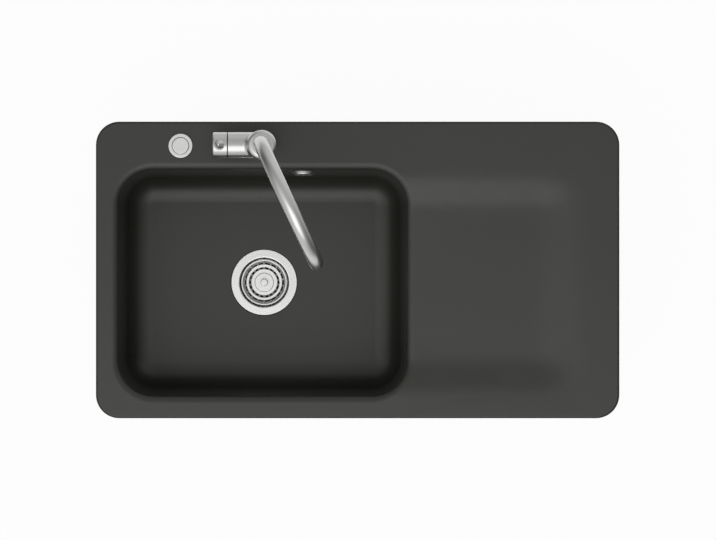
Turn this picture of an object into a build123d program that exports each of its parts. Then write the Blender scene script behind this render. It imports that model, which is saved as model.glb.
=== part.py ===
from build123d import *

import os
from math import atan2, cos, degrees, hypot, radians, sin, sqrt, tan

# Inset ceramic kitchen sink: one bowl, a draining board, a gooseneck mixer tap and a push-button waste.
# Millimetres and degrees. Origin at the middle of the sink on the worktop, +X towards the draining board,
# +Y towards the back and +Z up.

# Ceramic rim
sink_length = 900.0
sink_width = 510.0
rim_height = 11.0
rim_corner_radius = 40.0
rim_edge_radius = 4.0
rim_seat_width = 14.0
rim_hollow = 2.5
ground_seat_depth = 0.3
ground_seat_margin = 0.2

# Bowl, measured between its walls at the level of the rim
bowl_length = 496.0
bowl_left_margin = 38.5
bowl_front_margin = 39.0
ledge_depth = 82.5
bowl_depth = 200.0
bowl_draft = 4.0
bowl_corner_radius = 62.0
bowl_floor_radius = 43.0
bowl_edge_radius = 13.0
wall = 10.0
floor_thickness = 14.0

# Draining board: a shallow dish with wide coves that falls towards the bowl
drainer_depth = 9.0
drainer_fall = 2.5
drainer_right_margin = 50.0
drainer_back_margin = 83.0
drainer_front_margin = 31.0
drainer_right_cove = 103.0
drainer_back_cove = 76.0
drainer_front_cove = 83.0
drainer_wall = 9.0
pan_corner_radius = 60.0
pan_draft = 45.0

# Waste outlet in the bowl
flange_radius = 56.8
flange_sheet = 1.2
flange_bend = 2.4
well_radius = 42.5
well_depth = 36.0
plate_hole_radius = 6.5
plate_hole_circle = 22.0
plate_hole_count = 6
drain_seat_depth = 2.6
drain_seat_clearance = 1.2
drain_seat_edge = 1.0
drain_hole_clearance = 1.8
flange_gasket_thickness = 1.2
body_gasket_thickness = 2.5
cup_clearance = 3.3
cup_wall = 3.0
cup_flange_radius = 57.0
cup_flange_thickness = 5.0
cup_length = 48.5
cone_length = 14.0
outlet_radius = 23.9
outlet_bore = 20.5
outlet_length = 30.0
boss_radius = 9.5
boss_height = 8.0
boss_gap = 2.0
rib_thickness = 3.0
rib_count = 3
clamp_screw_radius = 6.0
clamp_head_radius = 9.0
clamp_head_height = 3.0
clamp_screw_spare = 1.0
running_fit = 0.08
seat_gap = 0.3

# Strainer basket
basket_sheet = 1.0
basket_bend = 1.1
basket_drop = 2.6
basket_rim_radius = 39.4
basket_mouth_radius = 37.4
basket_step_radius = 31.0
basket_step_inner_radius = 27.0
basket_floor_radius = 22.6
basket_upper_depth = 11.0
basket_lower_depth = 6.0
slot_count = 18
upper_slot_width = 8.6
lower_slot_width = 4.8
slot_margin = 0.6
knob_base_radius = 16.3
knob_base_height = 1.6
knob_radius = 6.5
knob_neck_radius = 4.0
knob_height = 11.0
knob_edge = 1.8
spindle_radius = 6.0
spindle_thread_radius = 3.0
seal_radius = 34.0
seal_inner_radius = 12.0
seal_thickness = 3.2
carrier_disc_thickness = 2.5
carrier_disc_inset = 2.0

# Lift linkage under the waste
lift_travel = 9.0
lift_pin_radius = 3.0
lift_pin_edge = 1.0
rod_boss_gap = 1.0
rod_radius = 2.5
rod_tip_edge = 2.0
rod_arm = 56.0
ball_radius = 6.0
ball_clearance = 0.08
port_radius = 10.0
port_bore = 6.7
port_length = 6.3
port_step = 4.4
ball_seat_thickness = 3.0
ball_nut_wall = 3.0
ball_nut_end = 3.5
rod_eye_radius = 4.5
rod_eye_hole = 1.6
rod_eye_thickness = 5.0
lug_height = 20.0
lug_thickness = 4.0
lug_width = 14.0
lug_hole = 2.6

# Overflow
overflow_drop = 52.0
overflow_offset = 70.0
overflow_hole_radius = 15.0
cover_radius = 21.0
cover_base = 2.0
cover_dome_radius = 17.0
cover_dome = 3.0
cover_dome_edge = 2.2
cover_sleeve_depth = 7.0
cover_sleeve_wall = 1.5
cover_sleeve_clearance = 0.4
cover_slot_count = 8
cover_slot_length = 6.0
cover_slot_width = 3.4
cover_slot_circle = 11.0
overflow_screw_radius = 2.5
overflow_head_radius = 4.6
overflow_head_height = 2.2
overflow_gasket_thickness = 2.0
head_flange_radius = 24.0
head_flange_thickness = 4.0
head_radius = 19.0
head_wall = 3.0
head_setback = 24.0
head_post_radius = 5.0
pipe_radius = 11.0
pipe_wall = 1.5
pipe_bend = 45.0
pipe_insert = 16.0
socket_radius = 16.0
socket_clearance = 0.3
socket_shoulder = 1.6
socket_reach = 44.0
branch_reach = 78.0
branch_drop = 25.0
pipe_seal_length = 3.0
pipe_nut_radius = 20.0
pipe_nut_length = 16.0
pipe_nut_end = 3.0
pipe_nut_grip_count = 12
pipe_nut_grip = 1.2

# Push button that works the waste
button_spacing = 141.0
deck_hole_radius = 17.5
bezel_radius = 20.8
bezel_height = 3.5
bezel_edge = 1.2
bezel_sleeve_radius = 16.5
bezel_sleeve_length = 41.0
bezel_floor = 3.0
bezel_floor_height = 5.0
button_radius = 14.3
button_gap = 0.35
button_height = 9.0
button_edge = 1.0
button_travel = 6.0
stem_radius = 4.0
stem_gap = 0.3
deck_gasket_thickness = 1.0
deck_gasket_inset = 1.0
spring_radius = 9.0
spring_wire = 0.7
spring_turns = 4
spring_end_gap = 0.3
nut_washer_thickness = 2.0
button_nut_radius = 22.5
button_nut_height = 8.0
thread_clearance = 0.1
housing_wall = 2.5
housing_length = 32.0
housing_neck = 4.6
gland_radius = 4.5
gland_collar_radius = 7.0
gland_collar_height = 4.0
gland_length = 22.0
gland_bore = 1.6

# Mixer tap
tap_setback = 41.5
column_radius = 25.0
column_height = 112.0
column_edge = 8.0
side_height = 56.0
side_radius = 22.1
side_length = 58.0
side_blend = 8.0
shank_radius = 16.4
shank_bore = 13.2
shank_insert = 10.0
shank_below = 46.0
inlet_radius = 4.5
inlet_depth = 12.0
inlet_spacing = 13.0
tap_washer_radius = 24.5
tap_rubber_thickness = 3.0
tap_nut_radius = 26.0
tap_nut_height = 12.0

# Swivel spout
spout_radius = 12.5
spout_wall = 1.5
spout_reach = 223.0
spout_turn = 25.0
spout_rise = 103.0
spout_drop = 20.0
spout_bore_radius = 15.0
spout_bore_depth = 36.0
spout_left_stop = 100.0
spout_right_stop = 50.0
tail_radius = 14.0
tail_collar_gap = 0.3
tail_shoulder = 10.0
collar_radius = 16.5
collar_height = 1.2
collar_depth = 8.0
thrust_ring_thickness = 1.5
o_ring_section = 0.9
o_ring_height = 6.0
o_ring_spacing = 5.0
o_ring_count = 2
stop_groove_depth = 1.0
stop_tip_radius = 1.5
stop_screw_radius = 2.5
stop_screw_height = 18.0
stop_clearance = 0.35
aerator_ring = 6.0
aerator_thread = 8.0
aerator_wall = 1.4
aerator_edge = 1.0
aerator_insert_height = 7.0
aerator_hole_radius = 0.9
aerator_hole_pitch = 3.2
aerator_hole_rows = 5

# Side lever and its cartridge
pivot_distance = 38.0
cap_end = 84.3
cap_edge = 2.5
dome_gap = 1.3
dome_thickness = 3.8
dome_hole_angle = 35.0
dome_skirt = 8.0
cartridge_radius = 17.6
cartridge_floor = 4.0
cartridge_start = 12.0
carrier_radius = 14.5
carrier_start = 26.0
carrier_dome_gap = 0.5
disc_thickness = 4.5
disc_gap = 0.1
stem_bar_radius = 4.0
stem_hub_radius = 6.5
stem_slot_gap = 0.3
stem_length = 40.5
lever_tilt = 22.0
pin_radius = 2.0
pin_length = 26.0
lever_distance = 73.0
lever_base_radius = 9.0
lever_radius = 3.2
lever_flare = 13.0
lever_height = 62.0
lever_root_radius = 3.0
lever_root = 9.0
handle_screw_radius = 2.5
close_fit = 0.03

# Places that follow from the sizes above
bowl_width = sink_width - bowl_front_margin - ledge_depth
bowl_x = -sink_length / 2 + bowl_left_margin + bowl_length / 2
bowl_y = -sink_width / 2 + bowl_front_margin + bowl_width / 2
bowl_slope = tan(radians(bowl_draft))
floor_z = rim_height - bowl_depth
underside_z = floor_z - floor_thickness
ground_seat_z = rim_height - ground_seat_depth
deck_base_z = ground_seat_z + deck_gasket_thickness
drain_x = bowl_x
drain_y = bowl_y
tap_x = bowl_x
tap_y = sink_width / 2 - tap_setback
button_x = tap_x - button_spacing
button_y = tap_y

flange_top_z = floor_z - drain_seat_depth + flange_gasket_thickness + flange_sheet
plate_top_z = flange_top_z - well_depth
plate_under_z = plate_top_z - flange_sheet
well_outer_radius = well_radius + flange_sheet
drain_hole_radius = well_outer_radius + drain_hole_clearance
cup_radius = well_outer_radius + cup_clearance
cup_top_z = underside_z - body_gasket_thickness
cone_top_z = cup_top_z - cup_length
cone_end_z = cone_top_z - cone_length
outlet_end_z = cone_end_z - outlet_length
boss_top_z = plate_under_z - boss_gap
boss_end_z = boss_top_z - boss_height
clamp_bore = lift_pin_radius + running_fit
pin_top_z = plate_top_z + clamp_head_height + seat_gap
pin_end_z = boss_end_z - lift_travel - rod_boss_gap
rod_pivot_z = pin_end_z - seat_gap - rod_radius + lift_travel / 2
rod_angle = degrees(atan2(lift_travel / 2, rod_arm))
rod_outer_arm = rod_arm * button_travel / lift_travel
basket_top_z = flange_top_z - basket_drop
basket_floor_z = basket_top_z - basket_upper_depth - basket_lower_depth
seal_z = plate_top_z + seat_gap
hub_z = pin_top_z + seat_gap
branch_z = underside_z - branch_drop

overflow_wall_z = rim_height - overflow_drop
overflow_wall_y = bowl_y + bowl_width / 2 - overflow_drop * bowl_slope
overflow_x = bowl_x + overflow_offset
overflow_plane = Plane(
    origin=(overflow_x, overflow_wall_y, overflow_wall_z),
    x_dir=(1, 0, 0),
    z_dir=(0, -cos(radians(bowl_draft)), sin(radians(bowl_draft))),
)
overflow_axis = Axis(overflow_plane.origin, overflow_plane.z_dir)
head_front = -wall - overflow_gasket_thickness
head_axis = head_front - head_setback
head_down = -overflow_plane.y_dir
socket_top = overflow_plane.from_local_coords(Vector(0, 0, head_axis))
socket_mouth = socket_top + head_down * socket_reach
pipe_corner = socket_top + head_down * ((branch_z - socket_top.Z) / head_down.Z)
branch_vector = Vector(pipe_corner.X - drain_x, pipe_corner.Y - drain_y, 0).normalized()
branch_root = Vector(drain_x, drain_y, branch_z)
branch_mouth = branch_root + branch_vector * branch_reach
socket_plane = Plane(origin=socket_top, x_dir=(1, 0, 0), z_dir=head_down)
branch_plane = Plane(origin=branch_root, x_dir=(0, 0, 1), z_dir=branch_vector)

bezel_top_z = deck_base_z + bezel_height
bezel_end_z = deck_base_z - bezel_sleeve_length
bezel_bore = button_radius + button_gap
bezel_floor_z = bezel_end_z + bezel_floor_height
button_under_z = bezel_top_z - button_height
housing_end_z = bezel_end_z - housing_length
deck_under_z = rim_hollow

column_top_z = deck_base_z + column_height
side_z = deck_base_z + side_height
shank_top_z = deck_base_z + shank_insert
spout_arc_radius = spout_reach / 2
spout_arc_z = column_top_z + spout_rise
spout_dir = Vector(sin(radians(spout_turn)), -cos(radians(spout_turn)), 0)
spout_bore_z = column_top_z - spout_bore_depth
tail_end_z = spout_bore_z + thrust_ring_thickness + running_fit
tail_top_z = column_top_z - collar_depth - tail_collar_gap
spout_end_z = spout_arc_z - spout_drop
outlet_point = Vector(tap_x, tap_y, 0) + spout_dir * spout_reach
pivot_x = tap_x - pivot_distance
dome_radius = hypot(side_length - pivot_distance, side_radius)
dome_inner_radius = dome_radius - dome_thickness
cap_sphere_radius = dome_radius + dome_gap
cartridge_bore = carrier_radius + running_fit

side_plane = Plane(origin=(tap_x, tap_y, side_z), x_dir=(0, -1, 0), z_dir=(-1, 0, 0))
side_profile = Plane(origin=(tap_x, tap_y, side_z), x_dir=(-1, 0, 0), z_dir=(0, 1, 0))
side_axis = Axis((tap_x, tap_y, side_z), (-1, 0, 0))
drain_axis = Axis((drain_x, drain_y, 0), (0, 0, 1))
tap_axis = Axis((tap_x, tap_y, 0), (0, 0, 1))


def level(x, y, z):
    """Plane of a horizontal sketch centred on a point."""
    return Plane(origin=(x, y, z))


def upright(x, y, z):
    """Plane of a half profile that turns about a vertical axis: across is +X and up is +Z."""
    return Plane(origin=(x, y, z), x_dir=(1, 0, 0), z_dir=(0, -1, 0))


def save(piece, name):
    """Label one finished piece and write it under its own name."""
    piece.part.label = name
    export_step(piece.part, f"parts/{name}.step")


def ring(plane, outer, inner, height):
    """Plain washer, gasket or disc that stands on a plane."""
    with BuildPart() as piece:
        with BuildSketch(plane):
            Circle(outer)
            if inner > 0:
                Circle(inner, mode=Mode.SUBTRACT)
        extrude(amount=height)
    return piece


def ease(share):
    """Smooth step from 0 to 1 that starts and ends level."""
    share = min(1.0, max(0.0, share))
    return share**3 * (share * (share * 6 - 15) + 10)


def deck_height(x, y):
    """Height of the glazed top: level on the rim, dished over the draining board."""
    right = sink_length / 2 - drainer_right_margin
    back = sink_width / 2 - drainer_back_margin
    front = -sink_width / 2 + drainer_front_margin
    bowl_right = bowl_x + bowl_length / 2
    fall = drainer_fall * min(1.0, (right - x) / (right - bowl_right))
    dish = ease((right - x) / drainer_right_cove)
    dish *= ease((back - y) / drainer_back_cove)
    dish *= ease((y - front) / drainer_front_cove)
    dish *= ease((x - bowl_x) / (bowl_length / 2 - bowl_corner_radius))
    return rim_height - (drainer_depth + fall) * dish


os.makedirs("parts", exist_ok=True)

# Ceramic body
surface_columns = 61
surface_rows = 41
surface_overhang = 10.0
surface_tolerance = 0.004
cut_height = 2 * surface_overhang + drainer_depth + drainer_fall
surface_length = sink_length + 2 * surface_overhang
surface_width = sink_width + 2 * surface_overhang
column_places = [surface_length * (column / (surface_columns - 1) - 0.5) for column in range(surface_columns)]
row_places = [surface_width * (row / (surface_rows - 1) - 0.5) for row in range(surface_rows)]
glazed_top = Face.make_surface_from_array_of_points(
    [[(x, y, deck_height(x, y)) for y in row_places] for x in column_places],
    tol=surface_tolerance,
)
pan_left = bowl_x
pan_right = sink_length / 2 - drainer_right_margin
pan_front = -sink_width / 2 + drainer_front_margin
pan_back = sink_width / 2 - drainer_back_margin
pan_z = rim_height - drainer_depth - drainer_fall - drainer_wall
outer_growth = 2 * (wall / cos(radians(bowl_draft)) - bowl_slope * (rim_height - rim_hollow))
hollow_rise = rim_height

with BuildPart() as bowl_hollow:
    with BuildSketch(level(bowl_x, bowl_y, rim_height + hollow_rise)):
        mouth_growth = 2 * hollow_rise * bowl_slope
        RectangleRounded(bowl_length + mouth_growth, bowl_width + mouth_growth, bowl_corner_radius)
    extrude(amount=-(bowl_depth + hollow_rise), taper=bowl_draft)
    fillet(bowl_hollow.faces().sort_by(Axis.Z)[0].edges(), bowl_floor_radius)

with BuildPart() as sink_body:
    with BuildSketch():
        RectangleRounded(sink_length, sink_width, rim_corner_radius)
    extrude(amount=rim_height + surface_overhang)
    with BuildSketch():
        RectangleRounded(
            sink_length - 2 * rim_seat_width,
            sink_width - 2 * rim_seat_width,
            rim_corner_radius - rim_seat_width,
        )
    extrude(amount=rim_hollow, mode=Mode.SUBTRACT)
    with BuildSketch(level((pan_left + pan_right) / 2, (pan_front + pan_back) / 2, rim_hollow)):
        RectangleRounded(pan_right - pan_left, pan_back - pan_front, pan_corner_radius)
    extrude(amount=pan_z - rim_hollow, taper=pan_draft)
    with BuildSketch(level(bowl_x, bowl_y, rim_hollow)):
        RectangleRounded(bowl_length + outer_growth, bowl_width + outer_growth, bowl_corner_radius + wall)
    extrude(amount=underside_z - rim_hollow, taper=bowl_draft)
    fillet(sink_body.faces().sort_by(Axis.Z)[0].edges(), bowl_floor_radius + wall)
    extrude(glazed_top, amount=cut_height, dir=(0, 0, 1), mode=Mode.SUBTRACT)
    add(bowl_hollow.part, mode=Mode.SUBTRACT)
    top_face = sink_body.faces().filter_by(GeomType.BSPLINE).sort_by(SortBy.AREA)[-1]
    fillet(top_face.inner_wires()[0].edges(), bowl_edge_radius)
    top_face = sink_body.faces().filter_by(GeomType.BSPLINE).sort_by(SortBy.AREA)[-1]
    fillet(top_face.outer_wire().edges(), rim_edge_radius)
    with BuildSketch(level(drain_x, drain_y, floor_z)):
        Circle(flange_radius + drain_seat_clearance)
    extrude(amount=-drain_seat_depth, mode=Mode.SUBTRACT)
    fillet(sink_body.edges(Select.LAST).filter_by(GeomType.CIRCLE).sort_by(Axis.Z)[-1], drain_seat_edge)
    with BuildSketch(level(drain_x, drain_y, floor_z)):
        Circle(drain_hole_radius)
    extrude(amount=-floor_thickness - wall, mode=Mode.SUBTRACT)
    for hole_x, seat_radius in ((tap_x, column_radius), (button_x, bezel_radius)):
        with BuildSketch(level(hole_x, tap_y, ground_seat_z)):
            Circle(seat_radius - ground_seat_margin)
        extrude(amount=rim_height, mode=Mode.SUBTRACT)
        with BuildSketch(level(hole_x, tap_y, 0)):
            Circle(deck_hole_radius)
        extrude(amount=rim_height, mode=Mode.SUBTRACT)
    with BuildSketch(overflow_plane):
        Circle(overflow_hole_radius)
    extrude(amount=wall * 2, both=True, mode=Mode.SUBTRACT)
save(sink_body, "sink_body")

# Waste: pressed flange and well, gaskets, moulded cup with overflow branch, hollow clamp screw
drain_profile = upright(drain_x, drain_y, 0)
with BuildPart() as waste_flange:
    with BuildSketch(drain_profile):
        with BuildLine():
            FilletPolyline(
                (flange_radius, flange_top_z),
                (well_radius, flange_top_z),
                (well_radius, plate_top_z),
                (clamp_screw_radius + running_fit, plate_top_z),
                radius=flange_bend,
            )
            offset(amount=flange_sheet, side=Side.LEFT)
        make_face()
    revolve(axis=drain_axis)
    with BuildSketch(level(drain_x, drain_y, plate_under_z)):
        with PolarLocations(plate_hole_circle, plate_hole_count):
            Circle(plate_hole_radius)
    extrude(amount=flange_sheet, mode=Mode.SUBTRACT)
save(waste_flange, "waste_flange")

flange_gasket = ring(
    level(drain_x, drain_y, floor_z - drain_seat_depth),
    flange_radius,
    drain_hole_radius,
    flange_gasket_thickness,
)
save(flange_gasket, "flange_gasket")

body_gasket = ring(
    level(drain_x, drain_y, cup_top_z), cup_flange_radius, drain_hole_radius, body_gasket_thickness
)
save(body_gasket, "body_gasket")

port_plane = Plane(origin=(drain_x, drain_y, rod_pivot_z), x_dir=(0, -1, 0), z_dir=(-1, 0, 0))
port_start = cup_radius + cup_wall
port_end = rod_arm + port_length
lug_z = rod_pivot_z + lug_height
lug_reach = rod_arm + rod_outer_arm + lug_width / 2
with BuildPart() as waste_body:
    with BuildSketch(drain_profile):
        with BuildLine():
            Polyline(
                (0, cup_top_z),
                (cup_flange_radius, cup_top_z),
                (cup_flange_radius, cup_top_z - cup_flange_thickness),
                (cup_radius + cup_wall, cup_top_z - cup_flange_thickness),
                (cup_radius + cup_wall, cone_top_z),
                (outlet_radius, cone_end_z),
                (outlet_radius, outlet_end_z),
                (0, outlet_end_z),
                close=True,
            )
        make_face()
    revolve(axis=drain_axis)
    with BuildSketch(branch_plane):
        Circle(socket_radius)
    extrude(amount=branch_reach)
    with BuildSketch(port_plane):
        Circle(port_radius)
    extrude(amount=port_end)
    with BuildSketch(level(drain_x, drain_y, lug_z)):
        with Locations((-lug_reach / 2, 0)):
            Rectangle(lug_reach, lug_width)
        with Locations((-rod_arm - rod_outer_arm, 0)):
            Circle(lug_hole, mode=Mode.SUBTRACT)
    extrude(amount=lug_thickness)
    with BuildSketch(drain_profile):
        with BuildLine():
            Polyline(
                (0, cup_top_z),
                (cup_radius, cup_top_z),
                (cup_radius, cone_top_z),
                (outlet_bore, cone_end_z),
                (outlet_bore, outlet_end_z),
                (0, outlet_end_z),
                close=True,
            )
        make_face()
    revolve(axis=drain_axis, mode=Mode.SUBTRACT)
    with BuildSketch(branch_plane.offset(cup_radius / 2)):
        Circle(pipe_radius - pipe_wall)
    extrude(amount=branch_reach, mode=Mode.SUBTRACT)
    with BuildSketch(branch_plane.offset(branch_reach - pipe_insert - socket_shoulder)):
        Circle(pipe_radius + socket_clearance)
    extrude(amount=branch_reach, mode=Mode.SUBTRACT)
    with BuildSketch(port_plane):
        Circle(port_step)
    extrude(amount=port_end, mode=Mode.SUBTRACT)
    with BuildSketch(port_plane.offset(rod_arm - port_length)):
        Circle(port_bore)
    extrude(amount=port_end, mode=Mode.SUBTRACT)
    with BuildSketch(level(drain_x, drain_y, boss_end_z)):
        Circle(boss_radius)
        with PolarLocations(cup_radius / 2, rib_count):
            Rectangle(cup_radius + cup_wall, rib_thickness)
        Circle(clamp_screw_radius + close_fit, mode=Mode.SUBTRACT)
    extrude(amount=boss_height)
save(waste_body, "waste_body")

with BuildPart() as clamp_screw:
    with BuildSketch(level(drain_x, drain_y, plate_top_z)):
        RegularPolygon(clamp_head_radius, 6)
    extrude(amount=clamp_head_height)
    with BuildSketch(level(drain_x, drain_y, plate_top_z)):
        Circle(clamp_screw_radius)
    extrude(amount=boss_end_z + clamp_screw_spare - plate_top_z)
    with BuildSketch(level(drain_x, drain_y, boss_end_z)):
        Circle(clamp_bore)
    extrude(amount=pin_top_z - boss_end_z, mode=Mode.SUBTRACT)
save(clamp_screw, "clamp_screw")

# Lift pin and the rod that tips it up
with BuildPart() as lift_pin:
    with BuildSketch(level(drain_x, drain_y, pin_end_z)):
        Circle(lift_pin_radius)
    extrude(amount=pin_top_z - pin_end_z)
    fillet(lift_pin.edges().filter_by(GeomType.CIRCLE), lift_pin_edge)
save(lift_pin, "lift_pin")

ball_center = Vector(drain_x - rod_arm, drain_y, rod_pivot_z)
rod_line = Vector(cos(radians(rod_angle)), 0, -sin(radians(rod_angle)))
rod_plane = Plane(origin=ball_center, x_dir=(0, 1, 0), z_dir=rod_line)
with BuildPart() as pivot_rod:
    with BuildSketch(rod_plane.offset(-rod_outer_arm)):
        Circle(rod_radius)
    extrude(amount=rod_outer_arm + hypot(rod_arm, lift_travel / 2))
    fillet(pivot_rod.edges().sort_by(Axis.X)[-1], rod_tip_edge)
    with Locations(ball_center):
        Sphere(ball_radius, rotation=(0, 0, 90))
    eye_center = ball_center - rod_line * rod_outer_arm
    eye_plane = Plane(origin=eye_center, x_dir=(1, 0, 0), z_dir=(0, -1, 0))
    with BuildSketch(eye_plane):
        Circle(rod_eye_radius)
    extrude(amount=rod_eye_thickness / 2, both=True)
    with BuildSketch(eye_plane):
        Circle(rod_eye_hole)
    extrude(amount=rod_eye_thickness, both=True, mode=Mode.SUBTRACT)
save(pivot_rod, "pivot_rod")

with BuildPart() as ball_seats:
    for seat_start in (rod_arm - port_length, rod_arm + port_length - ball_seat_thickness):
        with BuildSketch(port_plane.offset(seat_start)):
            Circle(port_bore - close_fit)
            Circle(port_step, mode=Mode.SUBTRACT)
        extrude(amount=ball_seat_thickness)
    with Locations(ball_center):
        Sphere(ball_radius + ball_clearance, rotation=(0, 0, 90), mode=Mode.SUBTRACT)
save(ball_seats, "ball_seats")

with BuildPart() as ball_nut:
    with BuildSketch(port_plane.offset(port_start + seat_gap)):
        RegularPolygon(port_radius + ball_nut_wall, 6, major_radius=False)
    extrude(amount=port_end - port_start - seat_gap + ball_nut_end)
    with BuildSketch(port_plane):
        Circle(port_radius + close_fit)
    extrude(amount=port_end, mode=Mode.SUBTRACT)
    with BuildSketch(port_plane):
        Circle(port_step)
    extrude(amount=port_end + ball_nut_end, mode=Mode.SUBTRACT)
save(ball_nut, "ball_nut")

# Strainer basket, its knob, spindle and seal
with BuildPart() as strainer_basket:
    step_z = basket_top_z - basket_upper_depth
    with BuildSketch(drain_profile):
        with BuildLine():
            FilletPolyline(
                (basket_rim_radius, basket_top_z),
                (basket_mouth_radius, basket_top_z),
                (basket_step_radius, step_z),
                (basket_step_inner_radius, step_z),
                (basket_floor_radius, basket_floor_z),
                (spindle_thread_radius + close_fit, basket_floor_z),
                radius=basket_bend,
            )
            offset(amount=basket_sheet, side=Side.LEFT)
        make_face()
    revolve(axis=drain_axis)
    slot_rows = (
        (basket_step_radius, basket_mouth_radius, upper_slot_width, basket_top_z),
        (basket_floor_radius, basket_step_inner_radius, lower_slot_width, step_z),
    )
    for inner_radius, outer_radius, slot_width, top_z in slot_rows:
        with BuildSketch(level(drain_x, drain_y, top_z)):
            with PolarLocations((inner_radius + outer_radius) / 2, slot_count):
                Rectangle(outer_radius - inner_radius - 2 * slot_margin, slot_width)
        extrude(amount=-basket_upper_depth - basket_sheet, mode=Mode.SUBTRACT)
save(strainer_basket, "strainer_basket")

with BuildPart() as basket_knob:
    knob_base_z = basket_floor_z + knob_base_height
    with BuildSketch(level(drain_x, drain_y, basket_floor_z)):
        Circle(knob_base_radius)
    extrude(amount=knob_base_height)
    fillet(basket_knob.edges().group_by(Axis.Z)[-1], knob_base_height / 2)
    with BuildSketch(level(drain_x, drain_y, knob_base_z)):
        Circle(knob_neck_radius)
    extrude(amount=knob_height)
    with BuildSketch(level(drain_x, drain_y, knob_base_z + knob_height / 2)):
        Circle(knob_radius)
    extrude(amount=knob_height / 2)
    fillet(basket_knob.faces().sort_by(Axis.Z)[-1].edges(), knob_edge)
    with BuildSketch(level(drain_x, drain_y, basket_floor_z)):
        Circle(spindle_thread_radius)
    extrude(amount=-basket_sheet - spindle_radius)
save(basket_knob, "basket_knob")

with BuildPart() as seal_spindle:
    spindle_top_z = basket_floor_z - basket_sheet
    disc_z = seal_z + seal_thickness
    with BuildSketch(level(drain_x, drain_y, hub_z)):
        Circle(spindle_radius)
    extrude(amount=spindle_top_z - hub_z)
    with BuildSketch(level(drain_x, drain_y, disc_z)):
        Circle(seal_radius - carrier_disc_inset)
        Circle(spindle_radius - close_fit, mode=Mode.SUBTRACT)
    extrude(amount=carrier_disc_thickness)
    with BuildSketch(level(drain_x, drain_y, spindle_top_z)):
        Circle(spindle_thread_radius + close_fit)
    extrude(amount=-spindle_radius - close_fit, mode=Mode.SUBTRACT)
save(seal_spindle, "seal_spindle")

basket_seal = ring(level(drain_x, drain_y, seal_z), seal_radius, seal_inner_radius, seal_thickness)
save(basket_seal, "basket_seal")

# Overflow: domed cover on the back wall, elbow head behind it, rigid pipe to the waste
with BuildPart() as overflow_cover:
    with BuildSketch(overflow_plane):
        Circle(cover_radius)
    extrude(amount=cover_base)
    fillet(overflow_cover.faces().sort_by(overflow_axis)[-1].edges(), cover_base / 2)
    with BuildSketch(overflow_plane.offset(cover_base)):
        Circle(cover_dome_radius)
    extrude(amount=cover_dome)
    fillet(overflow_cover.faces().sort_by(overflow_axis)[-1].edges(), cover_dome_edge)
    sleeve_radius = overflow_hole_radius - cover_sleeve_clearance
    with BuildSketch(overflow_plane):
        Circle(sleeve_radius)
    extrude(amount=-cover_sleeve_depth)
    with BuildSketch(overflow_plane.offset(cover_base)):
        Circle(sleeve_radius - cover_sleeve_wall)
    extrude(amount=-cover_base - cover_sleeve_depth, mode=Mode.SUBTRACT)
    with BuildSketch(overflow_plane.offset(cover_base)):
        with PolarLocations(cover_slot_circle, cover_slot_count):
            SlotOverall(cover_slot_length, cover_slot_width)
        Circle(overflow_screw_radius + running_fit)
    extrude(amount=cover_dome, mode=Mode.SUBTRACT)
    with BuildSketch(overflow_plane.offset(cover_base + cover_dome)):
        Circle(overflow_head_radius + running_fit)
    extrude(amount=-overflow_head_height, mode=Mode.SUBTRACT)
save(overflow_cover, "overflow_cover")

post_front = head_front - head_flange_thickness
head_back = head_axis - head_radius
with BuildPart() as overflow_screw:
    with BuildSketch(overflow_plane.offset(cover_base + cover_dome - overflow_head_height)):
        Circle(overflow_head_radius)
    extrude(amount=overflow_head_height)
    fillet(overflow_screw.faces().sort_by(overflow_axis)[-1].edges(), overflow_head_height / 2)
    with BuildSketch(overflow_plane.offset(cover_base + cover_dome - overflow_head_height)):
        Circle(overflow_screw_radius)
    extrude(amount=head_axis - cover_base - cover_dome + overflow_head_height)
save(overflow_screw, "overflow_screw")

overflow_gasket = ring(
    overflow_plane.offset(head_front), head_flange_radius, overflow_hole_radius, overflow_gasket_thickness
)
save(overflow_gasket, "overflow_gasket")

with BuildPart() as overflow_head:
    with BuildSketch(overflow_plane.offset(head_front)):
        Circle(head_flange_radius)
    extrude(amount=-head_flange_thickness)
    with BuildSketch(overflow_plane.offset(head_front)):
        Circle(head_radius)
    extrude(amount=head_back - head_front)
    with BuildSketch(socket_plane):
        Circle(socket_radius)
    extrude(amount=socket_reach)
    with BuildSketch(overflow_plane.offset(head_front)):
        Circle(head_radius - head_wall)
        Circle(head_post_radius, mode=Mode.SUBTRACT)
    extrude(amount=head_back - head_front + head_wall, mode=Mode.SUBTRACT)
    with BuildSketch(overflow_plane.offset(head_front)):
        Circle(head_post_radius)
    extrude(amount=-head_flange_thickness, mode=Mode.SUBTRACT)
    with BuildSketch(overflow_plane.offset(head_front)):
        Circle(overflow_screw_radius + close_fit)
    extrude(amount=head_axis - head_front - overflow_screw_radius, mode=Mode.SUBTRACT)
    with BuildSketch(socket_plane.offset(head_post_radius)):
        Circle(pipe_radius - pipe_wall)
    extrude(amount=socket_reach, mode=Mode.SUBTRACT)
    with BuildSketch(socket_plane.offset(socket_reach - pipe_insert - socket_shoulder)):
        Circle(pipe_radius + socket_clearance)
    extrude(amount=socket_reach, mode=Mode.SUBTRACT)
save(overflow_head, "overflow_head")

with BuildPart() as overflow_pipe:
    with BuildLine() as pipe_route:
        FilletPolyline(
            socket_mouth - head_down * pipe_insert,
            pipe_corner,
            branch_mouth - branch_vector * pipe_insert,
            radius=pipe_bend,
        )
    with BuildSketch(socket_plane.offset(socket_reach - pipe_insert)):
        Circle(pipe_radius)
        Circle(pipe_radius - pipe_wall, mode=Mode.SUBTRACT)
    sweep(path=pipe_route.line)
save(overflow_pipe, "overflow_pipe")


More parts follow.
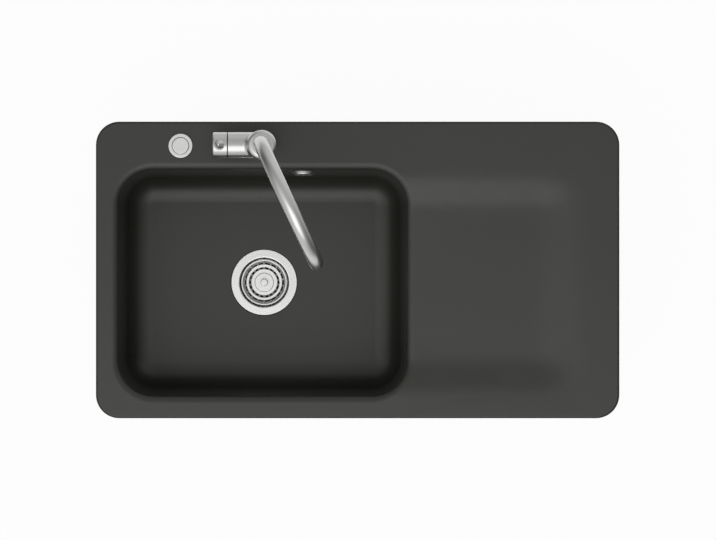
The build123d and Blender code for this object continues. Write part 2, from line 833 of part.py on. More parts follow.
def pipe_joint(mouth_plane, seal_name, nut_name):
    """Rubber seal and union nut at the mouth of a pipe socket, whose plane looks along the pipe."""
    seal = ring(mouth_plane, socket_radius - close_fit, pipe_radius + close_fit, pipe_seal_length)
    save(seal, seal_name)
    thread_length = pipe_nut_length - pipe_seal_length - pipe_nut_end
    with BuildPart() as nut:
        with BuildSketch(mouth_plane.offset(-thread_length)):
            Circle(pipe_nut_radius)
            with PolarLocations(pipe_nut_radius, pipe_nut_grip_count):
                Circle(pipe_nut_grip)
            Circle(socket_radius + thread_clearance, mode=Mode.SUBTRACT)
        extrude(amount=thread_length + pipe_seal_length)
        with BuildSketch(mouth_plane.offset(pipe_seal_length)):
            Circle(pipe_nut_radius)
            Circle(pipe_radius + socket_clearance, mode=Mode.SUBTRACT)
        extrude(amount=pipe_nut_end)
    save(nut, nut_name)


pipe_joint(socket_plane.offset(socket_reach), "upper_pipe_seal", "upper_pipe_nut")
pipe_joint(branch_plane.offset(branch_reach), "lower_pipe_seal", "lower_pipe_nut")

# Push button: bezel with a threaded sleeve, sprung cap, nut and cable housing under the deck
button_gasket = ring(
    level(button_x, button_y, ground_seat_z),
    bezel_radius - deck_gasket_inset,
    deck_hole_radius,
    deck_gasket_thickness,
)
save(button_gasket, "button_gasket")

with BuildPart() as button_bezel:
    with BuildSketch(level(button_x, button_y, deck_base_z)):
        Circle(bezel_radius)
    extrude(amount=bezel_height)
    fillet(button_bezel.edges().group_by(Axis.Z)[-1], bezel_edge)
    with BuildSketch(level(button_x, button_y, bezel_end_z)):
        Circle(bezel_sleeve_radius)
    extrude(amount=bezel_sleeve_length)
    with BuildSketch(level(button_x, button_y, bezel_floor_z + bezel_floor)):
        Circle(bezel_bore)
    extrude(amount=bezel_top_z - bezel_floor_z - bezel_floor, mode=Mode.SUBTRACT)
    with BuildSketch(level(button_x, button_y, bezel_end_z)):
        Circle(bezel_bore)
    extrude(amount=bezel_floor_height, mode=Mode.SUBTRACT)
    with BuildSketch(level(button_x, button_y, bezel_floor_z)):
        Circle(stem_radius + stem_gap)
    extrude(amount=bezel_floor, mode=Mode.SUBTRACT)
save(button_bezel, "button_bezel")

with BuildPart() as push_button:
    with BuildSketch(level(button_x, button_y, button_under_z)):
        Circle(button_radius)
    extrude(amount=button_height)
    fillet(push_button.edges().group_by(Axis.Z)[-1], button_edge)
    with BuildSketch(level(button_x, button_y, button_under_z)):
        Circle(stem_radius)
    extrude(amount=housing_end_z + housing_wall + button_travel + gland_collar_height - button_under_z)
save(push_button, "push_button")

spring_base_z = bezel_floor_z + bezel_floor + spring_end_gap
spring_rise = button_under_z - bezel_floor_z - bezel_floor - 2 * (spring_end_gap + spring_wire)
spring_pitch = spring_rise / spring_turns
spring_arc_radius = hypot(spring_radius, spring_pitch / 4)


def spring_point(half_turns):
    """Point of the coil's centre line, counted in half turns from its foot."""
    side = 1 if half_turns % 2 == 0 else -1
    height = spring_base_z + spring_wire + spring_pitch * half_turns / 2
    return Vector(button_x + side * spring_radius, button_y, height)


with BuildPart() as button_spring:
    with BuildLine() as coil:
        for half in range(2 * spring_turns):
            arc_start = spring_point(half)
            arc_end = spring_point(half + 1)
            bulge = spring_arc_radius if half % 2 == 0 else -spring_arc_radius
            arc_middle = (arc_start + arc_end) * 0.5 + Vector(0, bulge, 0)
            ThreePointArc(arc_start, arc_middle, arc_end)
    with BuildSketch(Plane(origin=spring_point(0), x_dir=(1, 0, 0), z_dir=(0, 1, 0))):
        Circle(spring_wire)
    sweep(path=coil.line)
save(button_spring, "button_spring")

button_washer = ring(
    level(button_x, button_y, deck_under_z - nut_washer_thickness),
    button_nut_radius,
    bezel_sleeve_radius + thread_clearance,
    nut_washer_thickness,
)
save(button_washer, "button_washer")


def deck_nut(x, y, top_z, radius, bore, height):
    """Hexagon nut that hangs under the deck."""
    with BuildPart() as nut:
        with BuildSketch(level(x, y, top_z)):
            RegularPolygon(radius, 6)
            Circle(bore, mode=Mode.SUBTRACT)
        extrude(amount=-height)
    return nut


button_nut = deck_nut(
    button_x,
    button_y,
    deck_under_z - nut_washer_thickness,
    button_nut_radius,
    bezel_sleeve_radius + thread_clearance,
    button_nut_height,
)
save(button_nut, "button_nut")

with BuildPart() as cable_housing:
    with BuildSketch(level(button_x, button_y, housing_end_z)):
        Circle(bezel_sleeve_radius)
    extrude(amount=housing_length)
    fillet(cable_housing.edges().group_by(Axis.Z)[0], housing_wall)
    with BuildSketch(level(button_x, button_y, bezel_end_z)):
        Circle(bezel_bore - close_fit)
    extrude(amount=housing_neck)
    with BuildSketch(level(button_x, button_y, housing_end_z + housing_wall)):
        Circle(bezel_bore - housing_wall)
    extrude(amount=housing_length + housing_neck, mode=Mode.SUBTRACT)
    with BuildSketch(level(button_x, button_y, housing_end_z)):
        Circle(gland_radius + close_fit)
    extrude(amount=housing_wall, mode=Mode.SUBTRACT)
save(cable_housing, "cable_housing")

with BuildPart() as cable_gland:
    with BuildSketch(level(button_x, button_y, housing_end_z + housing_wall)):
        Circle(gland_radius)
    extrude(amount=-gland_length)
    with BuildSketch(level(button_x, button_y, housing_end_z)):
        RegularPolygon(gland_collar_radius, 6)
    extrude(amount=-gland_collar_height)
    with BuildSketch(level(button_x, button_y, housing_end_z + housing_wall)):
        Circle(gland_bore)
    extrude(amount=-gland_length, mode=Mode.SUBTRACT)
save(cable_gland, "cable_gland")

# Mixer tap: base seal, body with side branch, threaded shank and its fixings
tap_seal = ring(
    level(tap_x, tap_y, ground_seat_z),
    column_radius - deck_gasket_inset,
    deck_hole_radius,
    deck_gasket_thickness,
)
save(tap_seal, "tap_seal")

groove_z = tail_end_z + stop_screw_height
screw_plane = Plane(origin=(tap_x, tap_y, groove_z), x_dir=(1, 0, 0), z_dir=(0, 1, 0))
with BuildPart() as tap_body:
    with BuildSketch(level(tap_x, tap_y, deck_base_z)):
        Circle(column_radius)
    extrude(amount=column_height)
    with BuildSketch(side_plane):
        Circle(side_radius)
    extrude(amount=side_length)
    straight_or_round = (GeomType.LINE, GeomType.CIRCLE)
    meeting_edges = tap_body.edges().filter_by(lambda edge: edge.geom_type not in straight_or_round)
    fillet(meeting_edges, side_blend)
    fillet(tap_body.faces().sort_by(Axis.Z)[-1].edges(), column_edge)
    with BuildSketch(level(tap_x, tap_y, column_top_z)):
        Circle(spout_bore_radius)
    extrude(amount=-spout_bore_depth, mode=Mode.SUBTRACT)
    with BuildSketch(side_plane.offset(cartridge_start)):
        Circle(cartridge_radius + close_fit)
    extrude(amount=side_length, mode=Mode.SUBTRACT)
    with BuildSketch(level(tap_x, tap_y, deck_base_z)):
        Circle(shank_radius + close_fit)
    extrude(amount=shank_insert, mode=Mode.SUBTRACT)
    with BuildSketch(level(tap_x, tap_y, shank_top_z)):
        with GridLocations(inlet_spacing, 0, 2, 1):
            Circle(inlet_radius)
    extrude(amount=inlet_depth, mode=Mode.SUBTRACT)
    with BuildSketch(screw_plane):
        Circle(stop_screw_radius + close_fit)
    extrude(amount=column_radius, mode=Mode.SUBTRACT)
save(tap_body, "tap_body")

with BuildPart() as tap_shank:
    with BuildSketch(level(tap_x, tap_y, shank_top_z)):
        Circle(shank_radius)
        Circle(shank_bore, mode=Mode.SUBTRACT)
    extrude(amount=-shank_insert - deck_base_z - shank_below)
save(tap_shank, "tap_shank")

tap_rubber_washer = ring(
    level(tap_x, tap_y, deck_under_z - tap_rubber_thickness),
    tap_washer_radius,
    shank_radius + thread_clearance,
    tap_rubber_thickness,
)
save(tap_rubber_washer, "tap_rubber_washer")

tap_steel_washer = ring(
    level(tap_x, tap_y, deck_under_z - tap_rubber_thickness - nut_washer_thickness),
    tap_washer_radius,
    shank_radius + thread_clearance,
    nut_washer_thickness,
)
save(tap_steel_washer, "tap_steel_washer")

tap_nut = deck_nut(
    tap_x,
    tap_y,
    deck_under_z - tap_rubber_thickness - nut_washer_thickness,
    tap_nut_radius,
    shank_radius + thread_clearance,
    tap_nut_height,
)
save(tap_nut, "tap_nut")

# Swivel spout: gooseneck tube in a brass tail, with its rings, stop screw and aerator
tap_profile = upright(tap_x, tap_y, 0)
tube_foot_z = tail_end_z + tail_shoulder
with BuildPart() as spout:
    with BuildLine() as spout_route:
        foot = Vector(tap_x, tap_y, tube_foot_z)
        arc_start = Vector(tap_x, tap_y, spout_arc_z)
        arc_top = arc_start + spout_dir * spout_arc_radius + Vector(0, 0, spout_arc_radius)
        arc_end = arc_start + spout_dir * spout_reach
        Line(foot, arc_start)
        ThreePointArc(arc_start, arc_top, arc_end)
        Line(arc_end, arc_end - Vector(0, 0, spout_drop))
    with BuildSketch(level(tap_x, tap_y, tube_foot_z)):
        Circle(spout_radius)
        Circle(spout_radius - spout_wall, mode=Mode.SUBTRACT)
    sweep(path=spout_route.line)
save(spout, "spout")

groove_half = stop_tip_radius + stop_clearance
groove_spare = degrees(atan2(groove_half, tail_radius - stop_groove_depth))
groove_start = 90 - spout_right_stop - groove_spare
with BuildPart() as spout_tail:
    with BuildSketch(level(tap_x, tap_y, tail_end_z)):
        Circle(tail_radius)
    extrude(amount=tail_top_z - tail_end_z)
    with BuildSketch(level(tap_x, tap_y, tail_end_z)):
        Circle(spout_radius - spout_wall)
    extrude(amount=tail_shoulder, mode=Mode.SUBTRACT)
    with BuildSketch(level(tap_x, tap_y, tube_foot_z)):
        Circle(spout_radius + close_fit)
    extrude(amount=tail_top_z - tube_foot_z, mode=Mode.SUBTRACT)
    for place in range(o_ring_count):
        ring_z = tail_end_z + o_ring_height + (place - 0.5) * o_ring_spacing
        with BuildSketch(tap_profile):
            with Locations((tail_radius, ring_z)):
                Rectangle(2 * (o_ring_section + close_fit), 2 * (o_ring_section + close_fit))
        revolve(axis=tap_axis, mode=Mode.SUBTRACT)
    groove_plane = Plane(
        origin=(tap_x, tap_y, groove_z),
        x_dir=(cos(radians(groove_start)), sin(radians(groove_start)), 0),
        z_dir=(sin(radians(groove_start)), -cos(radians(groove_start)), 0),
    )
    with BuildSketch(groove_plane):
        with Locations((tail_radius, 0)):
            Rectangle(2 * stop_groove_depth, 2 * groove_half)
    groove_arc = spout_left_stop + spout_right_stop + 2 * groove_spare
    revolve(axis=tap_axis, revolution_arc=groove_arc, mode=Mode.SUBTRACT)
save(spout_tail, "spout_tail")

with BuildPart() as spout_o_rings:
    for place in range(o_ring_count):
        ring_z = tail_end_z + o_ring_height + (place - 0.5) * o_ring_spacing
        with BuildSketch(tap_profile):
            with Locations((tail_radius, ring_z)):
                Circle(o_ring_section)
        revolve(axis=tap_axis)
save(spout_o_rings, "spout_o_rings")

thrust_ring = ring(
    level(tap_x, tap_y, spout_bore_z),
    spout_bore_radius - close_fit,
    spout_radius - spout_wall,
    thrust_ring_thickness,
)
save(thrust_ring, "thrust_ring")

with BuildPart() as spout_collar:
    with BuildSketch(level(tap_x, tap_y, column_top_z - collar_depth)):
        Circle(spout_bore_radius - close_fit)
    extrude(amount=collar_depth)
    with BuildSketch(level(tap_x, tap_y, column_top_z)):
        Circle(collar_radius)
    extrude(amount=collar_height)
    fillet(spout_collar.edges().group_by(Axis.Z)[-1], collar_height / 2)
    with BuildSketch(level(tap_x, tap_y, column_top_z - collar_depth)):
        Circle(spout_radius + running_fit)
    extrude(amount=collar_depth + collar_height, mode=Mode.SUBTRACT)
save(spout_collar, "spout_collar")

with BuildPart() as stop_screw:
    with BuildSketch(screw_plane.offset(spout_bore_radius)):
        Circle(stop_screw_radius)
    extrude(amount=column_radius - spout_bore_radius - stop_screw_radius)
    with BuildSketch(screw_plane.offset(tail_radius - stop_groove_depth + seat_gap)):
        Circle(stop_tip_radius)
    extrude(amount=spout_bore_radius - tail_radius + stop_groove_depth)
    with BuildSketch(screw_plane.offset(column_radius - stop_screw_radius)):
        RegularPolygon(stop_tip_radius, 6)
    extrude(amount=-stop_screw_radius, mode=Mode.SUBTRACT)
save(stop_screw, "stop_screw")

thread_radius = spout_radius - spout_wall - close_fit
with BuildPart() as aerator_housing:
    with BuildSketch(level(outlet_point.X, outlet_point.Y, spout_end_z - aerator_ring)):
        Circle(spout_radius)
    extrude(amount=aerator_ring)
    fillet(aerator_housing.edges().group_by(Axis.Z)[0], aerator_edge)
    with BuildSketch(level(outlet_point.X, outlet_point.Y, spout_end_z)):
        Circle(thread_radius)
    extrude(amount=aerator_thread)
    with BuildSketch(level(outlet_point.X, outlet_point.Y, spout_end_z - aerator_ring)):
        Circle(thread_radius - 2 * aerator_wall)
    extrude(amount=aerator_ring + aerator_thread, mode=Mode.SUBTRACT)
    with BuildSketch(level(outlet_point.X, outlet_point.Y, spout_end_z - aerator_ring + aerator_wall)):
        Circle(thread_radius - aerator_wall)
    extrude(amount=aerator_ring + aerator_thread, mode=Mode.SUBTRACT)
save(aerator_housing, "aerator_housing")

with BuildPart() as aerator_insert:
    with BuildSketch(level(outlet_point.X, outlet_point.Y, spout_end_z - aerator_ring + aerator_wall)):
        Circle(thread_radius - aerator_wall - close_fit)
        with GridLocations(aerator_hole_pitch, aerator_hole_pitch, aerator_hole_rows, aerator_hole_rows):
            Circle(aerator_hole_radius, mode=Mode.SUBTRACT)
    extrude(amount=aerator_insert_height)
save(aerator_insert, "aerator_insert")

# Side lever: cartridge in the branch, domed ring, carrier, stem, handle cap and pin lever
with BuildPart() as cartridge_body:
    cartridge_end = side_length - dome_skirt - disc_gap
    with BuildSketch(side_plane.offset(cartridge_start)):
        Circle(cartridge_radius)
    extrude(amount=cartridge_end - cartridge_start)
    with BuildSketch(side_plane.offset(cartridge_start + cartridge_floor)):
        Circle(cartridge_bore)
    extrude(amount=side_length, mode=Mode.SUBTRACT)
save(cartridge_body, "cartridge_body")

fixed_disc_start = cartridge_start + cartridge_floor
fixed_disc = ring(side_plane.offset(fixed_disc_start), carrier_radius, 0, disc_thickness)
save(fixed_disc, "fixed_disc")

control_disc = ring(
    side_plane.offset(fixed_disc_start + disc_thickness + disc_gap),
    carrier_radius,
    0,
    carrier_start - fixed_disc_start - disc_thickness - disc_gap,
)
save(control_disc, "control_disc")

with BuildPart() as dome_ring:
    hole_cos = cos(radians(dome_hole_angle))
    hole_sin = sin(radians(dome_hole_angle))
    rim_angle = degrees(atan2(side_radius, side_length - pivot_distance))
    skirt_radius = dome_inner_radius * hole_sin
    with BuildSketch(side_profile):
        with BuildLine():
            CenterArc((pivot_distance, 0), dome_radius, dome_hole_angle, rim_angle - dome_hole_angle)
            Polyline(
                (side_length, side_radius),
                (side_length, cartridge_radius),
                (side_length - dome_skirt, cartridge_radius),
                (side_length - dome_skirt, skirt_radius),
                (pivot_distance + dome_inner_radius * hole_cos, skirt_radius),
                (pivot_distance + dome_radius * hole_cos, dome_radius * hole_sin),
            )
        make_face()
    revolve(axis=side_axis)
save(dome_ring, "dome_ring")

with BuildPart() as cartridge_carrier:
    carrier_sphere = dome_inner_radius - carrier_dome_gap
    carrier_front = pivot_distance + sqrt(carrier_sphere**2 - carrier_radius**2)
    with BuildSketch(side_profile):
        with BuildLine():
            Polyline(
                (pivot_distance + carrier_sphere, 0),
                (carrier_start, 0),
                (carrier_start, carrier_radius),
                (carrier_front, carrier_radius),
            )
            front_angle = degrees(atan2(carrier_radius, carrier_front - pivot_distance))
            CenterArc((pivot_distance, 0), carrier_sphere, 0, front_angle)
        make_face()
    revolve(axis=side_axis)
    slot_half = stem_bar_radius + stem_slot_gap
    tilt_cos = cos(radians(lever_tilt))
    tilt_sin = sin(radians(lever_tilt))
    with BuildSketch(side_profile):
        with Locations((pivot_distance, 0)):
            Circle(stem_hub_radius + stem_slot_gap)
        with BuildLine():
            Polyline(
                (pivot_distance, slot_half),
                (pivot_distance + stem_length, slot_half),
                (
                    pivot_distance + stem_length * tilt_cos - slot_half * tilt_sin,
                    -stem_length * tilt_sin - slot_half * tilt_cos,
                ),
                (pivot_distance - slot_half * tilt_sin, -slot_half * tilt_cos),
                close=True,
            )
        make_face()
    extrude(amount=slot_half, both=True, mode=Mode.SUBTRACT)
    with BuildSketch(side_profile):
        with Locations((pivot_distance, 0)):
            Circle(pin_radius + close_fit)
    extrude(amount=carrier_radius, both=True, mode=Mode.SUBTRACT)
save(cartridge_carrier, "cartridge_carrier")

with BuildPart() as carrier_pin:
    with BuildSketch(side_profile):
        with Locations((pivot_distance, 0)):
            Circle(pin_radius)
    extrude(amount=pin_length / 2, both=True)
save(carrier_pin, "carrier_pin")

with BuildPart() as cartridge_stem:
    with BuildSketch(side_plane.offset(pivot_distance)):
        Circle(stem_bar_radius)
    extrude(amount=stem_length)
    with BuildSketch(side_profile):
        with Locations((pivot_distance, 0)):
            Circle(stem_hub_radius)
    extrude(amount=stem_bar_radius, both=True)
    with BuildSketch(side_profile):
        with Locations((pivot_distance, 0)):
            Circle(pin_radius + running_fit)
    extrude(amount=stem_bar_radius, both=True, mode=Mode.SUBTRACT)
save(cartridge_stem, "cartridge_stem")

lever_x = tap_x - lever_distance
cap_top_z = side_z + side_radius
with BuildPart() as handle_cap:
    with BuildSketch(side_plane.offset(side_length)):
        Circle(side_radius)
    extrude(amount=cap_end - side_length)
    fillet(handle_cap.edges().sort_by(Axis.X)[0], cap_edge)
    with Locations((pivot_x, tap_y, side_z)):
        Sphere(cap_sphere_radius, mode=Mode.SUBTRACT)
    with BuildSketch(side_plane.offset(pivot_distance)):
        Circle(stem_bar_radius + close_fit)
    extrude(amount=stem_length + disc_gap, mode=Mode.SUBTRACT)
    with BuildSketch(level(lever_x, tap_y, cap_top_z)):
        Circle(lever_root_radius + close_fit)
    extrude(amount=-lever_root, mode=Mode.SUBTRACT)
    with BuildSketch(level(lever_x, tap_y, side_z)):
        Circle(handle_screw_radius + close_fit)
    extrude(amount=-side_radius, mode=Mode.SUBTRACT)
save(handle_cap, "handle_cap")

with BuildPart() as lever_pin:
    lever_foot_z = side_z + sqrt(side_radius**2 - lever_base_radius**2)
    flare_z = cap_top_z + lever_flare
    tip_z = cap_top_z + lever_height - lever_radius
    with BuildSketch(upright(lever_x, tap_y, 0)):
        with BuildLine():
            Polyline((0, lever_foot_z), (lever_base_radius, lever_foot_z), (lever_base_radius, cap_top_z))
            Bezier(
                (lever_base_radius, cap_top_z),
                (lever_radius, cap_top_z + lever_radius),
                (lever_radius, flare_z),
            )
            Line((lever_radius, flare_z), (lever_radius, tip_z))
            CenterArc((0, tip_z), lever_radius, 0, 90)
            Line((0, tip_z + lever_radius), (0, lever_foot_z))
        make_face()
    revolve(axis=Axis((lever_x, tap_y, 0), (0, 0, 1)))
    with BuildSketch(side_plane.offset(lever_distance)):
        Circle(side_radius + close_fit)
    extrude(amount=2 * lever_base_radius, both=True, mode=Mode.SUBTRACT)
    with BuildSketch(level(lever_x, tap_y, cap_top_z - lever_root + close_fit)):
        Circle(lever_root_radius)
    extrude(amount=lever_root + lever_radius)
save(lever_pin, "lever_pin")

with BuildPart() as handle_screw:
    with BuildSketch(level(lever_x, tap_y, side_z - stem_bar_radius - close_fit)):
        Circle(handle_screw_radius)
    extrude(amount=-side_radius + stem_bar_radius + handle_screw_radius)
    with BuildSketch(level(lever_x, tap_y, side_z - side_radius)):
        RegularPolygon(stop_tip_radius, 6)
    extrude(amount=2 * handle_screw_radius, mode=Mode.SUBTRACT)
save(handle_screw, "handle_screw")
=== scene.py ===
"""Looks of an inset ceramic kitchen sink with its mixer tap, basket waste, overflow and push button."""

import logging
import math
from dataclasses import dataclass, field
from enum import Enum
from functools import cached_property

import bmesh
import bpy
from mathutils import Matrix, Vector


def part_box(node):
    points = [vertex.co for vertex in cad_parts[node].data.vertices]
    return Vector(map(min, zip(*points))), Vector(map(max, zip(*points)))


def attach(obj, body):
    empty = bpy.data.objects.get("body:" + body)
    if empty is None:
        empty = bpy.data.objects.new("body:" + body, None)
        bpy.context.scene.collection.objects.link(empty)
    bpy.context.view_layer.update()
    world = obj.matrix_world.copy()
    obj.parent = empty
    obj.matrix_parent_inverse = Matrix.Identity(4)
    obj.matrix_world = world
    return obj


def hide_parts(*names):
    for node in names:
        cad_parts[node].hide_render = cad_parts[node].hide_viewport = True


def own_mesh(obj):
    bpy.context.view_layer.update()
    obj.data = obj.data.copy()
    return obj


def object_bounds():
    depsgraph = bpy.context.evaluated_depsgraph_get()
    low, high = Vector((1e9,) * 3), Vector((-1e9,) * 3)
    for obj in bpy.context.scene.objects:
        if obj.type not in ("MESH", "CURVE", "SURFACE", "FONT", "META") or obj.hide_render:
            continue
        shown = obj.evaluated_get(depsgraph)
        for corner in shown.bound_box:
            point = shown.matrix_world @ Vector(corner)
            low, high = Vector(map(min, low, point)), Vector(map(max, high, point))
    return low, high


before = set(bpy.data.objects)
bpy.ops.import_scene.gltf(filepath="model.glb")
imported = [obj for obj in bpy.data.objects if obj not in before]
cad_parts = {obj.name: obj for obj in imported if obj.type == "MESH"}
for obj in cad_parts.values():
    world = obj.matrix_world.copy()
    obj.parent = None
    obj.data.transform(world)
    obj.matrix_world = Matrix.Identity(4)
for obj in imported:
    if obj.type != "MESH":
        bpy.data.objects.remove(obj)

CAD_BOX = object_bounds()
MM = 0.001
SINK = "sink"
log = logging.getLogger("kitchen_sink")

Colour = tuple[float, float, float]


class Effect(Enum):
    """Shared surface effects, each built once as a shader node group."""

    GLAZE = "glaze_mottle"
    SATIN = "satin_grain"
    BRUSHED = "brushed_rings"
    MOULDED = "moulded_grain"


class ShaderSheet:
    """Adds nodes to one node tree and joins them up.

    Attributes:
        NOISE_LOW: Low end of the range that most noise falls in.
        NOISE_HIGH: High end of that range.
    """

    NOISE_LOW = 0.3
    NOISE_HIGH = 0.7

    def __init__(self, tree: bpy.types.NodeTree) -> None:
        """Keep the tree and empty it.

        Args:
            tree: The material's, world's or group's node tree.
        """
        self.tree = tree
        tree.nodes.clear()

    def add(self, kind: str, **settings: object) -> bpy.types.Node:
        """Add one node.

        Args:
            kind: Blender's name for the node's type.
            settings: Properties to set on it.

        Returns:
            The new node.
        """
        node = self.tree.nodes.new(kind)
        for name, value in settings.items():
            setattr(node, name, value)
        return node

    def link(self, source: bpy.types.NodeSocket, target: bpy.types.NodeSocket) -> None:
        """Join an output to an input.

        Args:
            source: The output socket.
            target: The input socket.
        """
        self.tree.links.new(source, target)

    def feed(self, target: bpy.types.NodeSocket, value: object) -> None:
        """Give an input a link or a plain value.

        Args:
            target: The input socket.
            value: An output socket, or a number, colour or vector.
        """
        if isinstance(value, bpy.types.NodeSocket):
            self.link(value, target)
        else:
            target.default_value = value

    def math(self, operation: str, first: object, second: object = 0.0) -> bpy.types.NodeSocket:
        """Add a Math node.

        Args:
            operation: Blender's name for the operation.
            first: First operand, a socket or a number.
            second: Second operand, a socket or a number.

        Returns:
            The node's output.
        """
        node = self.add("ShaderNodeMath", operation=operation)
        self.feed(node.inputs[0], first)
        self.feed(node.inputs[1], second)
        return node.outputs[0]

    def along(self, vector: bpy.types.NodeSocket, axis: Colour) -> bpy.types.NodeSocket:
        """Add a dot product.

        Args:
            vector: The direction to measure.
            axis: The direction to measure it along.

        Returns:
            How far the one points along the other.
        """
        node = self.add("ShaderNodeVectorMath", operation="DOT_PRODUCT")
        self.link(vector, node.inputs[0])
        node.inputs[1].default_value = axis
        return node.outputs["Value"]

    def noise(self, vector: bpy.types.NodeSocket, scale: object, detail: float) -> bpy.types.NodeSocket:
        """Add a noise texture.

        Args:
            vector: Coordinates that it reads.
            scale: Noise cells in a metre, a socket or a number.
            detail: Octaves of finer noise.

        Returns:
            The noise value, about 0.5 on average.
        """
        node = self.add("ShaderNodeTexNoise")
        self.link(vector, node.inputs["Vector"])
        self.feed(node.inputs["Scale"], scale)
        node.inputs["Detail"].default_value = detail
        return node.outputs["Fac"]

    def spread(self, value: bpy.types.NodeSocket, low: object, high: object) -> bpy.types.NodeSocket:
        """Map the middle of a noise value to a range.

        Args:
            value: The noise.
            low: Result at the low end.
            high: Result at the high end.

        Returns:
            The mapped value.
        """
        node = self.add("ShaderNodeMapRange")
        self.link(value, node.inputs["Value"])
        node.inputs["From Min"].default_value = self.NOISE_LOW
        node.inputs["From Max"].default_value = self.NOISE_HIGH
        self.feed(node.inputs["To Min"], low)
        self.feed(node.inputs["To Max"], high)
        return node.outputs["Result"]


class EffectShelf:
    """Builds each shared effect's node group on first use and hands it out after that.

    Attributes:
        FINENESS: How many times finer an effect's second noise is than its first.
        COARSE_SHARE: Share of the first noise in the shade, the rest being the second's.
        COARSE_DETAIL: Octaves of the first noise.
        FINE_DETAIL: Octaves of the second noise.
        RING_STRETCH: Metres of noise that one radian round a ring counts as.
    """

    FINENESS = {Effect.GLAZE: 9.0, Effect.SATIN: 6.0, Effect.BRUSHED: 2.5, Effect.MOULDED: 3.0}
    COARSE_SHARE = 0.6
    COARSE_DETAIL = 3.0
    FINE_DETAIL = 2.0
    RING_STRETCH = 0.0012

    def __init__(self) -> None:
        """Start with no group built."""
        self.built: dict[Effect, bpy.types.NodeTree] = {}

    def group(self, effect: Effect) -> bpy.types.NodeTree:
        """Fetch an effect's node group.

        Args:
            effect: The wanted effect.

        Returns:
            Its node group, with the inputs Vector and Scale and the outputs Shade and Height.
        """
        if effect not in self.built:
            self.built[effect] = self._build(effect)
        return self.built[effect]

    def _build(self, effect: Effect) -> bpy.types.NodeTree:
        """Make one effect's node group.

        Args:
            effect: The wanted effect.

        Returns:
            The new node group.
        """
        tree = bpy.data.node_groups.new(effect.value, "ShaderNodeTree")
        tree.interface.new_socket("Vector", in_out="INPUT", socket_type="NodeSocketVector")
        tree.interface.new_socket("Scale", in_out="INPUT", socket_type="NodeSocketFloat")
        tree.interface.new_socket("Shade", in_out="OUTPUT", socket_type="NodeSocketFloat")
        tree.interface.new_socket("Height", in_out="OUTPUT", socket_type="NodeSocketFloat")
        sheet = ShaderSheet(tree)
        entry = sheet.add("NodeGroupInput")
        leave = sheet.add("NodeGroupOutput")
        vector, scale = entry.outputs["Vector"], entry.outputs["Scale"]
        if effect is Effect.BRUSHED:
            vector = self.polar(sheet, vector)
        finer = sheet.math("MULTIPLY", scale, self.FINENESS[effect])
        coarse = sheet.noise(vector, scale, self.COARSE_DETAIL)
        fine = sheet.noise(vector, finer, self.FINE_DETAIL)
        most = sheet.math("MULTIPLY", coarse, self.COARSE_SHARE)
        rest = sheet.math("MULTIPLY", fine, 1.0 - self.COARSE_SHARE)
        sheet.link(sheet.math("ADD", most, rest), leave.inputs["Shade"])
        sheet.link(coarse if effect is Effect.GLAZE else fine, leave.inputs["Height"])
        return tree

    @classmethod
    def polar(cls, sheet: ShaderSheet, vector: bpy.types.NodeSocket) -> bpy.types.NodeSocket:
        """Turn plain coordinates into rings about the Z axis, so that noise runs round it.

        Args:
            sheet: Sheet of the group being built.
            vector: Coordinates with their origin on the axis.

        Returns:
            Radius, height and a share of the angle as a vector.
        """
        split = sheet.add("ShaderNodeSeparateXYZ")
        sheet.link(vector, split.inputs[0])
        x, y, z = split.outputs
        square = sheet.math("ADD", sheet.math("MULTIPLY", x, x), sheet.math("MULTIPLY", y, y))
        radius = sheet.math("SQRT", square)
        angle = sheet.math("MULTIPLY", sheet.math("ARCTAN2", y, x), cls.RING_STRETCH)
        join = sheet.add("ShaderNodeCombineXYZ")
        for socket, value in zip(join.inputs, (radius, z, angle)):
            sheet.link(value, socket)
        return join.outputs[0]


SHELF = EffectShelf()


